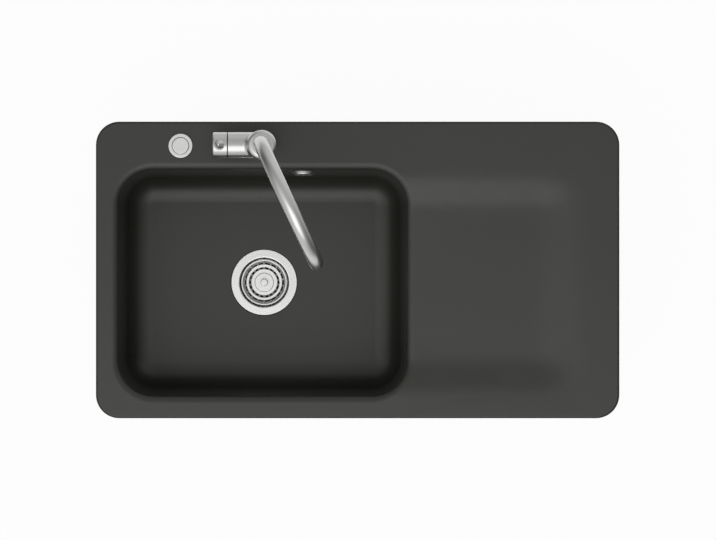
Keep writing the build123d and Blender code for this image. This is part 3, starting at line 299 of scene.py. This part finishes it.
@dataclass(frozen=True)
class Finish:
    """One surface finish, made into a procedural material.

    Attributes:
        name: Name of the material.
        colour: Base colour, linear.
        variation: Share by which the colour darkens and lightens.
        roughness: Lowest and highest roughness.
        metallic: 1 for bare metal.
        effect: Shared surface effect that varies it.
        scale: Cells of that effect in a metre.
        bump: Height of the surface's relief in metres.
        centre: Point that rings are centred on, in metres.
        specular: Level of the dielectric highlight, 0.5 for an IOR of 1.5.
    """

    name: str
    colour: Colour
    variation: float
    roughness: tuple[float, float]
    metallic: float = 0.0
    effect: Effect = Effect.SATIN
    scale: float = 400.0
    bump: float = 0.00001
    centre: Colour = (0.0, 0.0, 0.0)
    specular: float = 0.5

    def material(self) -> bpy.types.Material:
        """Build the material.

        Returns:
            A new material with this finish.
        """
        made = bpy.data.materials.new(self.name)
        made.use_nodes = True
        sheet = ShaderSheet(made.node_tree)
        shader = sheet.add("ShaderNodeBsdfPrincipled")
        result = sheet.add("ShaderNodeOutputMaterial")
        sheet.link(shader.outputs["BSDF"], result.inputs["Surface"])
        shader.inputs["Metallic"].default_value = self.metallic
        shader.inputs["Specular IOR Level"].default_value = self.specular
        place = sheet.add("ShaderNodeMapping", vector_type="POINT")
        place.inputs["Location"].default_value = [-value for value in self.centre]
        sheet.link(sheet.add("ShaderNodeTexCoord").outputs["Object"], place.inputs["Vector"])
        surface = sheet.add("ShaderNodeGroup", node_tree=SHELF.group(self.effect))
        sheet.link(place.outputs["Vector"], surface.inputs["Vector"])
        surface.inputs["Scale"].default_value = self.scale
        shade = surface.outputs["Shade"]
        sheet.link(self._roughness(sheet, shade), shader.inputs["Roughness"])
        sheet.link(self._colour(sheet, shade), shader.inputs["Base Color"])
        relief = sheet.add("ShaderNodeBump")
        relief.inputs["Distance"].default_value = self.bump
        sheet.link(surface.outputs["Height"], relief.inputs["Height"])
        sheet.link(relief.outputs["Normal"], shader.inputs["Normal"])
        return made

    def _roughness(self, sheet: ShaderSheet, shade: bpy.types.NodeSocket) -> bpy.types.NodeSocket:
        """Roughness that varies with the surface effect.

        Args:
            sheet: Sheet of the material.
            shade: The effect's shade.

        Returns:
            The roughness socket.
        """
        return sheet.spread(shade, *self.roughness)

    def _colour(self, sheet: ShaderSheet, shade: bpy.types.NodeSocket) -> bpy.types.NodeSocket:
        """Colour that varies with the surface effect.

        Args:
            sheet: Sheet of the material.
            shade: The effect's shade.

        Returns:
            The colour socket.
        """
        mix = sheet.add("ShaderNodeMix", data_type="RGBA")
        dark, light = 1.0 - self.variation, 1.0 + self.variation
        mix.inputs["A"].default_value = (*(value * dark for value in self.colour), 1.0)
        mix.inputs["B"].default_value = (*(value * light for value in self.colour), 1.0)
        sheet.link(sheet.spread(shade, 0.0, 1.0), mix.inputs["Factor"])
        return mix.outputs["Result"]


@dataclass(frozen=True)
class GlazedCeramic(Finish):
    """Satin glaze over a pale stoneware body, which shows bare where the rim was ground flat.

    Attributes:
        bare_colour: Colour of the stoneware.
        seat_height: Heights this near to 0 belong to the ground seat.
        seat_facing: How straight down a face must look to belong to it, 1 for quite straight.
        half_size: Half the length and half the width of the sink.
        corner: Radius of its corners.
        edge_width: Width of the band round the outline where the glaze is matt and its colour is
            darkened as painted shade.
        edge_roughness: Roughness at the very edge.
        edge_painted_shade: Share of the glaze's colour that is left at the very edge, as painted shade.
    """

    bare_colour: Colour = (0.52, 0.47, 0.40)
    seat_height: float = 0.4 * MM
    seat_facing: float = 0.95
    half_size: tuple[float, float] = (450.0 * MM, 255.0 * MM)
    corner: float = 40.0 * MM
    edge_width: float = 3.5 * MM
    edge_roughness: float = 0.9
    edge_painted_shade: float = 0.1

    def _edge(self, sheet: ShaderSheet) -> bpy.types.NodeSocket:
        """Mask of the sink's outline.

        Args:
            sheet: Sheet of the material.

        Returns:
            A value that rises from 0 to 1 over the last few millimetres.
        """
        place = sheet.add("ShaderNodeSeparateXYZ")
        sheet.link(sheet.add("ShaderNodeTexCoord").outputs["Object"], place.inputs[0])
        squares = []
        for axis, half in zip(place.outputs, self.half_size):
            past = sheet.math("SUBTRACT", sheet.math("ABSOLUTE", axis), half - self.corner)
            past = sheet.math("MAXIMUM", past, 0.0)
            squares.append(sheet.math("MULTIPLY", past, past))
        reach = sheet.math("SQRT", sheet.math("ADD", *squares))
        into = sheet.math("SUBTRACT", reach, self.corner - self.edge_width)
        rise = sheet.math("DIVIDE", into, self.edge_width)
        return sheet.math("MINIMUM", sheet.math("MAXIMUM", rise, 0.0), 1.0)

    def _roughness(self, sheet: ShaderSheet, shade: bpy.types.NodeSocket) -> bpy.types.NodeSocket:
        """Roughness of the glaze, matt along the outline.

        Args:
            sheet: Sheet of the material.
            shade: The glaze's shade.

        Returns:
            The roughness socket.
        """
        mix = sheet.add("ShaderNodeMix", data_type="FLOAT")
        sheet.link(self._edge(sheet), mix.inputs["Factor"])
        sheet.link(super()._roughness(sheet, shade), mix.inputs["A"])
        mix.inputs["B"].default_value = self.edge_roughness
        return mix.outputs["Result"]

    def _colour(self, sheet: ShaderSheet, shade: bpy.types.NodeSocket) -> bpy.types.NodeSocket:
        """Glaze colour, with painted shade along the outline and bare stoneware on faces that look down
        at the height of the seat.

        Args:
            sheet: Sheet of the material.
            shade: The glaze's shade.

        Returns:
            The colour socket.
        """
        # Painted shade: the colour darkens over the last few millimetres to the outline, a dark line
        # round the sink's edge.
        painted_edge = sheet.add("ShaderNodeMix", data_type="RGBA")
        sheet.link(self._edge(sheet), painted_edge.inputs["Factor"])
        sheet.link(super()._colour(sheet, shade), painted_edge.inputs["A"])
        painted_edge.inputs["B"].default_value = (*(value * self.edge_painted_shade for value in self.colour), 1.0)
        facing = sheet.add("ShaderNodeSeparateXYZ")
        sheet.link(sheet.add("ShaderNodeNewGeometry").outputs["Normal"], facing.inputs[0])
        place = sheet.add("ShaderNodeSeparateXYZ")
        sheet.link(sheet.add("ShaderNodeTexCoord").outputs["Object"], place.inputs[0])
        down = sheet.math("LESS_THAN", facing.outputs["Z"], -self.seat_facing)
        level = sheet.math("LESS_THAN", sheet.math("ABSOLUTE", place.outputs["Z"]), self.seat_height)
        mix = sheet.add("ShaderNodeMix", data_type="RGBA")
        sheet.link(sheet.math("MULTIPLY", down, level), mix.inputs["Factor"])
        sheet.link(painted_edge.outputs["Result"], mix.inputs["A"])
        mix.inputs["B"].default_value = (*self.bare_colour, 1.0)
        return mix.outputs["Result"]


@dataclass(frozen=True)
class TurnedSteel(Finish):
    """Steel brushed in rings, with painted shade: a dark line wherever two pieces meet in a fine
    ring-shaped gap, and a darker well below a given height.

    Attributes:
        seams: Radii of those gaps.
        seam_width: Half the width of the dark line of painted shade.
        seam_depth: Share of the light that the painted shade line takes away at its middle.
        painted_shade_below: Height below which the steel is darkened as painted shade of the well.
        painted_shade_share: Share of the colour that is left there.
    """

    seams: tuple[float, ...] = ()
    seam_width: float = 0.9 * MM
    seam_depth: float = 0.75
    painted_shade_below: float = -math.inf
    painted_shade_share: float = 0.5

    def _colour(self, sheet: ShaderSheet, shade: bpy.types.NodeSocket) -> bpy.types.NodeSocket:
        """Steel colour, with painted shade along the seams and below a given height.

        Args:
            sheet: Sheet of the material.
            shade: The brushed rings' shade.

        Returns:
            The colour socket.
        """
        colour = super()._colour(sheet, shade)
        place = sheet.add("ShaderNodeMapping", vector_type="POINT")
        place.inputs["Location"].default_value = [-value for value in self.centre]
        sheet.link(sheet.add("ShaderNodeTexCoord").outputs["Object"], place.inputs["Vector"])
        split = sheet.add("ShaderNodeSeparateXYZ")
        sheet.link(EffectShelf.polar(sheet, place.outputs["Vector"]), split.inputs[0])
        # Painted shade: a dark ring at each seam's radius stands in for the shade in the fine gap
        # between two pieces.
        for seam in self.seams:
            away = sheet.math("ABSOLUTE", sheet.math("SUBTRACT", split.outputs["X"], seam))
            near = sheet.math("SUBTRACT", 1.0, sheet.math("DIVIDE", away, self.seam_width))
            near = sheet.math("MAXIMUM", near, 0.0)
            mix = sheet.add("ShaderNodeMix", data_type="RGBA", blend_type="MULTIPLY")
            sheet.link(sheet.math("MULTIPLY", near, self.seam_depth), mix.inputs["Factor"])
            sheet.link(colour, mix.inputs["A"])
            mix.inputs["B"].default_value = (0.0, 0.0, 0.0, 1.0)
            colour = mix.outputs["Result"]
        # Painted shade: everything below this height is darkened, standing in for the shade in a recess
        # such as the flange's well.
        if self.painted_shade_below == -math.inf:
            return colour
        well_shade = sheet.add("ShaderNodeMix", data_type="RGBA", blend_type="MULTIPLY")
        low = sheet.math("LESS_THAN", split.outputs["Y"], self.painted_shade_below)
        sheet.link(low, well_shade.inputs["Factor"])
        sheet.link(colour, well_shade.inputs["A"])
        well_shade.inputs["B"].default_value = (*[self.painted_shade_share] * 3, 1.0)
        return well_shade.outputs["Result"]


def dress(material: bpy.types.Material, *names: str) -> None:
    """Give CAD nodes a material.

    Args:
        material: The finish.
        names: Nodes that take it.
    """
    for name in names:
        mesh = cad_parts[name].data
        mesh.materials.clear()
        mesh.materials.append(material)
        log.info("%s: %s", name, material.name)


def new_piece(
    name: str, shape: bmesh.types.BMesh, material: bpy.types.Material
) -> bpy.types.Object:
    """Turn a finished bmesh into a piece that rides on the sink.

    Args:
        name: Name of the piece.
        shape: Its mesh, in the part's own frame. It is freed here.
        material: Its finish.

    Returns:
        The new piece.
    """
    mesh = bpy.data.meshes.new(name)
    shape.to_mesh(mesh)
    shape.free()
    mesh.materials.append(material)
    piece = bpy.data.objects.new(name, mesh)
    bpy.context.scene.collection.objects.link(piece)
    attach(piece, SINK)
    log.info("%s: new piece on %s", name, SINK)
    return piece


@dataclass
class ScrewThread:
    """Helical ridge round an upright sleeve.

    Attributes:
        name: Name of the piece.
        centre: Axis of the sleeve, X and Y in metres.
        low: Height of the thread's lower end.
        high: Height of its upper end.
        radius: Radius of the sleeve.
        pitch: Rise of one turn.
        depth: Height of the ridge.
        steps: Segments in one turn.
        flank: Half the ridge's foot as a share of the pitch.
        root: Share of the ridge's height that is sunk into the sleeve.
    """

    name: str
    centre: tuple[float, float]
    low: float
    high: float
    radius: float
    pitch: float
    depth: float
    steps: int = 40
    flank: float = 0.42
    root: float = 0.2

    def build(self, slot: str, material: bpy.types.Material) -> None:
        """Spin the ridge and set it on its sleeve.

        Args:
            slot: Material slot of the sleeve; not used.
            material: Finish of the sleeve.
        """
        shape = bmesh.new()
        half = self.pitch * self.flank
        sunk = self.radius - self.depth * self.root
        start = self.low + half
        corners = [(sunk, start - half), (self.radius + self.depth, start), (sunk, start + half)]
        ring = [shape.verts.new((self.centre[0] + r, self.centre[1], z)) for r, z in corners]
        edges = [shape.edges.new((ring[i], ring[(i + 1) % len(ring)])) for i in range(len(ring))]
        foot = shape.faces.new(ring)
        turns = (self.high - self.low - 2 * half) / self.pitch
        count = max(1, round(turns * self.steps))
        spun = bmesh.ops.spin(
            shape,
            geom=[*ring, *edges],
            cent=(*self.centre, 0.0),
            axis=(0.0, 0.0, 1.0),
            dvec=(0.0, 0.0, turns * self.pitch / count),
            angle=turns * math.tau,
            steps=count,
        )
        last = [item for item in spun["geom_last"] if isinstance(item, bmesh.types.BMVert)]
        shape.faces.new(last)
        foot.normal_flip()
        bmesh.ops.recalc_face_normals(shape, faces=shape.faces)
        new_piece(self.name, shape, material)


@dataclass
class CoilSpring:
    """Wire spring that stands on its lower end, built at its full length.

    Attributes:
        name: Name of the piece.
        node: CAD node that it stands for.
        joint: Joint that presses it; not used.
        travel: How far that joint presses it; not used.
        wire: Radius of the wire.
        turns: Turns of the coil.
        sides: Sides of the wire.
        steps: Segments in one turn.
    """

    name: str
    node: str
    joint: str
    travel: float
    wire: float
    turns: int
    sides: int = 12
    steps: int = 32

    def build(self, slot: str, material: bpy.types.Material) -> None:
        """Spin the coil in the node's place.

        Args:
            slot: Material slot of the spring; not used.
            material: Finish of the spring.
        """
        low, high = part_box(self.node)
        middle = (low + high) / 2
        radius = (high.x - low.x) / 2 - self.wire
        height = high.z - low.z
        shape = bmesh.new()
        place = Matrix.Translation((middle.x + radius, middle.y, low.z + self.wire))
        matrix = place @ Matrix.Rotation(math.pi / 2, 4, "X")
        bmesh.ops.create_circle(
            shape, segments=self.sides, radius=self.wire, matrix=matrix, cap_ends=True
        )
        count = self.turns * self.steps
        spun = bmesh.ops.spin(
            shape,
            geom=[*shape.verts, *shape.edges],
            cent=(middle.x, middle.y, 0.0),
            axis=(0.0, 0.0, 1.0),
            dvec=(0.0, 0.0, (height - 2 * self.wire) / count),
            angle=self.turns * math.tau,
            steps=count,
        )
        last = [item for item in spun["geom_last"] if isinstance(item, bmesh.types.BMEdge)]
        bmesh.ops.edgeloop_fill(shape, edges=last)
        bmesh.ops.recalc_face_normals(shape, faces=shape.faces)
        for face in shape.faces:
            face.smooth = len(face.verts) == 4
        piece = new_piece(self.name, shape, material)
        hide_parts(self.node)
        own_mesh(piece)


@dataclass
class CeramicBody:
    """The glazed casting: bowl, draining board, tap ledge and rim.

    Attributes:
        glaze: Its finish.
    """

    glaze: GlazedCeramic = field(
        default_factory=lambda: GlazedCeramic(
            name="anthracite_glaze",
            colour=(0.0188, 0.0184, 0.0138),
            variation=0.06,
            roughness=(0.40, 0.48),
            effect=Effect.GLAZE,
            scale=160.0,
            bump=0.00002,
            specular=0.7,
        )
    )

    def build(self) -> None:
        """Dress the casting."""
        dress(self.glaze.material(), "sink_body")


@dataclass
class SteelWare:
    """Finishes of the bright fittings.

    Attributes:
        plated: Colour of the tap's satin plating.
        stainless: Colour of the stainless steel of the waste and the button.
    """

    plated: Colour = (0.62, 0.62, 0.61)
    stainless: Colour = (0.83, 0.83, 0.82)

    def satin(self, name: str) -> bpy.types.Material:
        """Fine satin plating with no direction.

        Args:
            name: Name of the material.

        Returns:
            The material.
        """
        return Finish(
            name=name,
            colour=self.plated,
            variation=0.03,
            roughness=(0.27, 0.34),
            metallic=1.0,
            effect=Effect.SATIN,
            scale=700.0,
            bump=0.000002,
        ).material()

    def turned(
        self, name: str, node: str, seams: tuple[float, ...] = (), unshaded_depth: float = math.inf
    ) -> bpy.types.Material:
        """Brushed rings about a round node's upright axis.

        Args:
            name: Name of the material.
            node: Node whose middle the rings are centred on.
            seams: Radii of fine gaps that show as dark lines of painted shade.
            unshaded_depth: How far down from its top the node keeps its colour; below that it is
                darkened as painted shade.

        Returns:
            The material.
        """
        low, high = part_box(node)
        middle = (low + high) / 2
        return TurnedSteel(
            name=name,
            colour=self.stainless,
            variation=0.06,
            roughness=(0.20, 0.34),
            metallic=1.0,
            effect=Effect.BRUSHED,
            scale=1800.0,
            bump=0.000004,
            centre=(middle.x, middle.y, 0.0),
            seams=seams,
            painted_shade_below=high.z - unshaded_depth,
        ).material()


@dataclass
class PlainStock:
    """Finishes of what is out of sight: hardware, moulded plastic, pipe, rubber and brass.

    Attributes:
        grain: Cells of the plastic's and the metal's grain in a metre.
        brass: Colour of turned brass.
        screw: Colour of plain steel.
        bright_steel: Colour of the polished steel of the linkage.
        natural: Colour of undyed plastic.
    """

    grain: float = 900.0
    brass: Colour = (0.62, 0.45, 0.20)
    screw: Colour = (0.5, 0.5, 0.5)
    bright_steel: Colour = (0.55, 0.55, 0.55)
    natural: Colour = (0.74, 0.74, 0.72)

    def moulded(self, name: str, colour: Colour) -> bpy.types.Material:
        """Moulded plastic with a fine spark-eroded grain.

        Args:
            name: Name of the material.
            colour: Its colour.

        Returns:
            The material.
        """
        return Finish(
            name=name,
            colour=colour,
            variation=0.12,
            roughness=(0.42, 0.58),
            effect=Effect.MOULDED,
            scale=self.grain,
            bump=0.00002,
        ).material()

    @cached_property
    def rubber(self) -> bpy.types.Material:
        """Matt black sealing rubber, shared by every seal."""
        return Finish(
            name="sealing_rubber",
            colour=(0.018, 0.018, 0.018),
            variation=0.2,
            roughness=(0.7, 0.85),
            effect=Effect.MOULDED,
            scale=600.0,
            bump=0.00003,
        ).material()

    @cached_property
    def ground_ceramic(self) -> bpy.types.Material:
        """Lapped alumina of the valve discs."""
        return Finish(
            name="ground_ceramic",
            colour=(0.80, 0.79, 0.76),
            variation=0.04,
            roughness=(0.20, 0.30),
            effect=Effect.GLAZE,
            scale=500.0,
            bump=0.000004,
        ).material()

    def metal(self, name: str, colour: Colour, rough: tuple[float, float]) -> bpy.types.Material:
        """Plain machined metal.

        Args:
            name: Name of the material.
            colour: Its colour.
            rough: Lowest and highest roughness.

        Returns:
            The material.
        """
        return Finish(
            name=name,
            colour=colour,
            variation=0.1,
            roughness=rough,
            metallic=1.0,
            scale=self.grain,
            bump=0.000006,
        ).material()


@dataclass
class BasketWaste:
    """Flange, basket, cup and the linkage below.

    Attributes:
        thread_pitch: Rise of one turn of the outlet's thread.
        thread_depth: Height of that thread.
        thread_length: How far up the outlet it runs.
        outlet_radius: Outside radius of the outlet.
        knob_base_radius: Radius of the ring where the knob's foot meets the basket, drawn as a dark
            line of painted shade.
        flange_depth: How far down from its top the flange keeps its colour; below that its well is
            darkened as painted shade.
        cup_colour: Colour of the moulded cup.
    """

    thread_pitch: float = 2.3 * MM
    thread_depth: float = 0.9 * MM
    thread_length: float = 20.0 * MM
    outlet_radius: float = 23.9 * MM
    knob_base_radius: float = 16.4 * MM
    flange_depth: float = 5.0 * MM
    cup_colour: Colour = (0.022, 0.022, 0.024)

    def build(self, steel: SteelWare, stock: PlainStock) -> None:
        """Dress the waste and thread its outlet.

        Args:
            steel: Finishes of the bright parts.
            stock: Finishes of the parts below the bowl.
        """
        # The flange's well is darkened as painted shade of the recess seen through the basket's slots.
        flange = steel.turned("flange_steel", "waste_flange", unshaded_depth=self.flange_depth)
        dress(flange, "waste_flange")
        # The ring at the knob's foot gets a dark line of painted shade.
        basket = steel.turned("basket_steel", "strainer_basket", (self.knob_base_radius,))
        dress(basket, "strainer_basket", "basket_knob")
        linkage = stock.metal("linkage_steel", stock.bright_steel, rough=(0.25, 0.4))
        dress(linkage, "clamp_screw", "lift_pin", "pivot_rod")
        cup = stock.moulded("waste_plastic", self.cup_colour)
        dress(cup, "waste_body", "ball_nut", "seal_spindle")
        dress(stock.moulded("seat_plastic", stock.natural), "ball_seats")
        dress(stock.rubber, "flange_gasket", "body_gasket", "basket_seal")
        low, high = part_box("waste_flange")
        axis = (low + high) / 2
        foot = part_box("waste_body")[0].z
        ScrewThread(
            "outlet_thread",
            (axis.x, axis.y),
            foot + self.thread_pitch,
            foot + self.thread_length,
            self.outlet_radius,
            self.thread_pitch,
            self.thread_depth,
        ).build("black_plastic", cup)


@dataclass
class Overflow:
    """Cover on the bowl's back wall, elbow behind it and pipe to the waste.

    Attributes:
        elbow_colour: Colour of the moulded elbow and nuts.
        pipe_colour: Colour of the pipe.
    """

    elbow_colour: Colour = (0.024, 0.024, 0.026)
    pipe_colour: Colour = (0.26, 0.27, 0.28)

    def build(self, steel: SteelWare, stock: PlainStock) -> None:
        """Dress the overflow.

        Args:
            steel: Finishes of the bright parts.
            stock: Finishes of the parts behind the bowl.
        """
        dress(steel.satin("cover_steel"), "overflow_cover", "overflow_screw")
        elbow = stock.moulded("elbow_plastic", self.elbow_colour)
        dress(elbow, "overflow_head", "upper_pipe_nut", "lower_pipe_nut")
        dress(stock.moulded("pipe_plastic", self.pipe_colour), "overflow_pipe")
        dress(stock.rubber, "overflow_gasket", "upper_pipe_seal", "lower_pipe_seal")


@dataclass
class ButtonControl:
    """Push button on the ledge and its housing below.

    Attributes:
        thread_pitch: Rise of one turn of the sleeve's thread.
        thread_depth: Height of that thread.
        sleeve_radius: Outside radius of the sleeve.
        button_radius: Radius of the gap round the button, drawn as a dark line of painted shade.
        button_travel: How far the button goes down.
        spring_wire: Radius of the return spring's wire.
        spring_turns: Turns of that spring.
        nut_colour: Colour of the moulded nut and housing.
    """

    thread_pitch: float = 1.5 * MM
    thread_depth: float = 0.5 * MM
    sleeve_radius: float = 16.5 * MM
    button_radius: float = 14.5 * MM
    button_travel: float = 6.0 * MM
    spring_wire: float = 0.7 * MM
    spring_turns: int = 4
    nut_colour: Colour = (0.03, 0.03, 0.032)

    def build(self, steel: SteelWare, stock: PlainStock) -> None:
        """Dress the button and thread its sleeve.

        Args:
            steel: Finishes of the bright parts.
            stock: Finishes of the parts under the ledge.
        """
        # The gap round the button gets a dark line of painted shade on the bezel and the button.
        bezel = steel.turned("bezel_steel", "button_bezel", (self.button_radius,))
        dress(bezel, "button_bezel", "push_button")
        nut = stock.moulded("nut_plastic", self.nut_colour)
        dress(nut, "button_nut", "button_washer", "cable_housing")
        dress(stock.metal("gland_brass", stock.brass, rough=(0.25, 0.38)), "cable_gland")
        spring = stock.metal("spring_steel", stock.screw, rough=(0.25, 0.35))
        dress(spring, "button_spring")
        CoilSpring(
            "return_spring",
            "button_spring",
            "button_press",
            self.button_travel,
            self.spring_wire,
            self.spring_turns,
        ).build("plain_steel", spring)
        dress(stock.rubber, "button_gasket")
        low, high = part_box("button_bezel")
        axis = (low + high) / 2
        ScrewThread(
            "sleeve_thread",
            (axis.x, axis.y),
            low.z,
            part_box("button_nut")[0].z,
            self.sleeve_radius,
            self.thread_pitch,
            self.thread_depth,
        ).build("satin_steel", bezel)


@dataclass
class MixerTap:
    """Tap body, swivel spout, side lever and the fixings under the ledge.

    Attributes:
        thread_pitch: Rise of one turn of the shank's thread.
        thread_depth: Height of that thread.
        shank_radius: Outside radius of the shank.
    """

    thread_pitch: float = 1.5 * MM
    thread_depth: float = 0.5 * MM
    shank_radius: float = 16.4 * MM

    def build(self, steel: SteelWare, stock: PlainStock) -> None:
        """Dress the tap and thread its shank.

        Args:
            steel: Finishes of the bright parts.
            stock: Finishes of the parts under the ledge.
        """
        tap = steel.satin("tap_satin")
        dress(tap, "tap_body", "spout", "spout_collar", "aerator_housing")
        dress(tap, "dome_ring", "handle_cap", "lever_pin")
        brass = stock.metal("turned_brass", stock.brass, rough=(0.22, 0.38))
        dress(brass, "tap_shank", "tap_nut", "spout_tail")
        dress(
            stock.metal("screw_steel", stock.screw, rough=(0.28, 0.42)),
            "tap_steel_washer",
            "stop_screw",
            "carrier_pin",
            "cartridge_stem",
            "handle_screw",
        )
        dress(
            stock.moulded("cartridge_plastic", stock.natural),
            "thrust_ring",
            "aerator_insert",
            "cartridge_body",
            "cartridge_carrier",
        )
        dress(stock.ground_ceramic, "fixed_disc", "control_disc")
        dress(stock.rubber, "tap_seal", "tap_rubber_washer", "spout_o_rings")
        low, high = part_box("tap_shank")
        axis = (low + high) / 2
        ScrewThread(
            "shank_thread",
            (axis.x, axis.y),
            low.z,
            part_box("tap_nut")[0].z,
            self.shank_radius,
            self.thread_pitch,
            self.thread_depth,
        ).build("brass", brass)


@dataclass
class Studio:
    """White floor, soft light and a long lens that looks straight down, as in the photograph.

    Attributes:
        frame_width: Width of the view at the sink's rim, in metres.
        view_centre: Point of the rim's plane at the middle of the view.
        camera_distance: Height of the camera over the rim.
        floor_size: Width and depth of the floor.
        floor_shift: How far the floor's middle lies from the sink's, below 0 towards the front.
        floor_gap: Room between the lowest piece and the floor.
        floor_paint: Share of the light that the floor gives back.
        floor_white: Share of plain white that camera and mirror rays see in the floor.
        zenith: Brightness of the sky overhead.
        horizon: Brightness of the sky at the horizon and below.
        lean: How much brighter the sky grows towards the front and left.
        lean_toward: Level direction that it brightens in.
        backdrop_glow: Brightness of the pale backdrops that mirror rays see low in the sky.
        backdrop_axis: Level line that those two backdrops stand on, one at each end.
        softbox_place: Where the softbox hangs, in front of the sink and to its left.
        softbox_size: Side of the square softbox.
        softbox_glow: Brightness of its face, 1 for plain white.
    """

    frame_width: float = 1.2309
    view_centre: tuple[float, float] = (0.0006, -0.0001)
    camera_distance: float = 12.0
    floor_size: tuple[float, float] = (1.9, 3.0)
    floor_shift: float = -0.6
    floor_gap: float = 0.0005
    floor_paint: float = 0.9
    floor_white: float = 0.95
    zenith: float = 0.624
    horizon: float = 0.112
    lean: float = 1.04
    lean_toward: Colour = (-0.71, -0.71, 0.0)
    backdrop_glow: float = 0.8
    backdrop_axis: Colour = (0.5, 0.87, 0.0)
    softbox_place: Colour = (-0.15, -1.0, 1.7)
    softbox_size: float = 1.8
    softbox_glow: float = 0.9

    def build(self) -> None:
        """Set the floor, sky, softbox and camera."""
        scene = bpy.context.scene
        scene.view_settings.view_transform = "Standard"
        self._floor()
        self._sky(scene)
        self._softbox()
        self._camera(scene)

    def _camera(self, scene: bpy.types.Scene) -> None:
        """Hang the camera over the sink.

        Args:
            scene: The scene that it looks at.
        """
        camera = bpy.data.cameras.new("top_camera")
        camera.lens = camera.sensor_width * self.camera_distance / self.frame_width
        holder = bpy.data.objects.new("top_camera", camera)
        holder.location = (*self.view_centre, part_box("sink_body")[1].z + self.camera_distance)
        scene.collection.objects.link(holder)
        scene.camera = holder

    def _floor(self) -> None:
        """Make the pale floor, which keeps a trace of the sink's shadow."""
        shape = bmesh.new()
        bmesh.ops.create_grid(shape, x_segments=1, y_segments=1, size=0.5)
        bmesh.ops.scale(shape, vec=(*self.floor_size, 1.0), verts=shape.verts)
        height = CAD_BOX[0].z - self.floor_gap
        bmesh.ops.translate(shape, verts=shape.verts, vec=(0.0, self.floor_shift, height))
        mesh = bpy.data.meshes.new("studio_floor")
        shape.to_mesh(mesh)
        shape.free()
        material = bpy.data.materials.new("studio_white")
        material.use_nodes = True
        sheet = ShaderSheet(material.node_tree)
        rays = sheet.add("ShaderNodeLightPath").outputs
        seen = sheet.math("MAXIMUM", rays["Is Camera Ray"], rays["Is Glossy Ray"])
        seen = sheet.math("MAXIMUM", seen, rays["Is Transmission Ray"])
        paint = sheet.add("ShaderNodeBsdfDiffuse")
        paint.inputs["Color"].default_value = (*[self.floor_paint] * 3, 1.0)
        white = sheet.add("ShaderNodeEmission")
        mix = sheet.add("ShaderNodeMixShader")
        sheet.link(sheet.math("MULTIPLY", seen, self.floor_white), mix.inputs[0])
        sheet.link(paint.outputs[0], mix.inputs[1])
        sheet.link(white.outputs[0], mix.inputs[2])
        sheet.link(mix.outputs[0], sheet.add("ShaderNodeOutputMaterial").inputs["Surface"])
        mesh.materials.append(material)
        floor = bpy.data.objects.new("studio_floor", mesh)
        bpy.context.scene.collection.objects.link(floor)

    def _sky(self, scene: bpy.types.Scene) -> None:
        """Light the scene from a sky that is pale overhead, dim at the horizon and white to the camera.

        Args:
            scene: The scene to light.
        """
        world = bpy.data.worlds.new("studio_sky")
        world.use_nodes = True
        sheet = ShaderSheet(world.node_tree)
        toward = sheet.add("ShaderNodeTexCoord").outputs["Generated"]
        split = sheet.add("ShaderNodeSeparateXYZ")
        sheet.link(toward, split.inputs[0])
        rise = sheet.math("MAXIMUM", split.outputs["Z"], 0.0)
        side = sheet.math("MAXIMUM", sheet.along(toward, self.lean_toward), 0.0)
        slope = sheet.math("ADD", sheet.math("MULTIPLY", side, self.lean), self.zenith - self.horizon)
        glow = sheet.math("ADD", sheet.math("MULTIPLY", rise, slope), self.horizon)
        rays = sheet.add("ShaderNodeLightPath").outputs
        end = sheet.math("ABSOLUTE", sheet.along(toward, self.backdrop_axis))
        backdrop = sheet.math("MULTIPLY", end, self.backdrop_glow)
        glow = sheet.math("MAXIMUM", glow, sheet.math("MULTIPLY", backdrop, rays["Is Glossy Ray"]))
        sky = sheet.add("ShaderNodeBackground")
        sky.inputs["Color"].default_value = (1.0, 1.0, 1.0, 1.0)
        sheet.link(sheet.math("MAXIMUM", glow, rays["Is Camera Ray"]), sky.inputs["Strength"])
        sheet.link(sky.outputs[0], sheet.add("ShaderNodeOutputWorld").inputs["Surface"])
        scene.world = world

    def _softbox(self) -> None:
        """Hang the softbox, turned to face the sink."""
        lamp = bpy.data.lights.new("front_softbox", "AREA")
        lamp.size = self.softbox_size
        lamp.energy = self.softbox_glow * math.pi * self.softbox_size**2
        holder = bpy.data.objects.new("front_softbox", lamp)
        holder.location = self.softbox_place
        holder.rotation_euler = (-Vector(self.softbox_place)).to_track_quat("-Z", "Y").to_euler()
        bpy.context.scene.collection.objects.link(holder)


def main() -> None:
    """Build the studio and dress the sink, one sub-assembly after the other."""
    logging.basicConfig(level=logging.INFO, format="%(name)s %(message)s")
    Studio().build()
    steel, stock = SteelWare(), PlainStock()
    CeramicBody().build()
    for assembly in (BasketWaste(), Overflow(), ButtonControl(), MixerTap()):
        assembly.build(steel, stock)


if __name__ == "__main__":
    main()
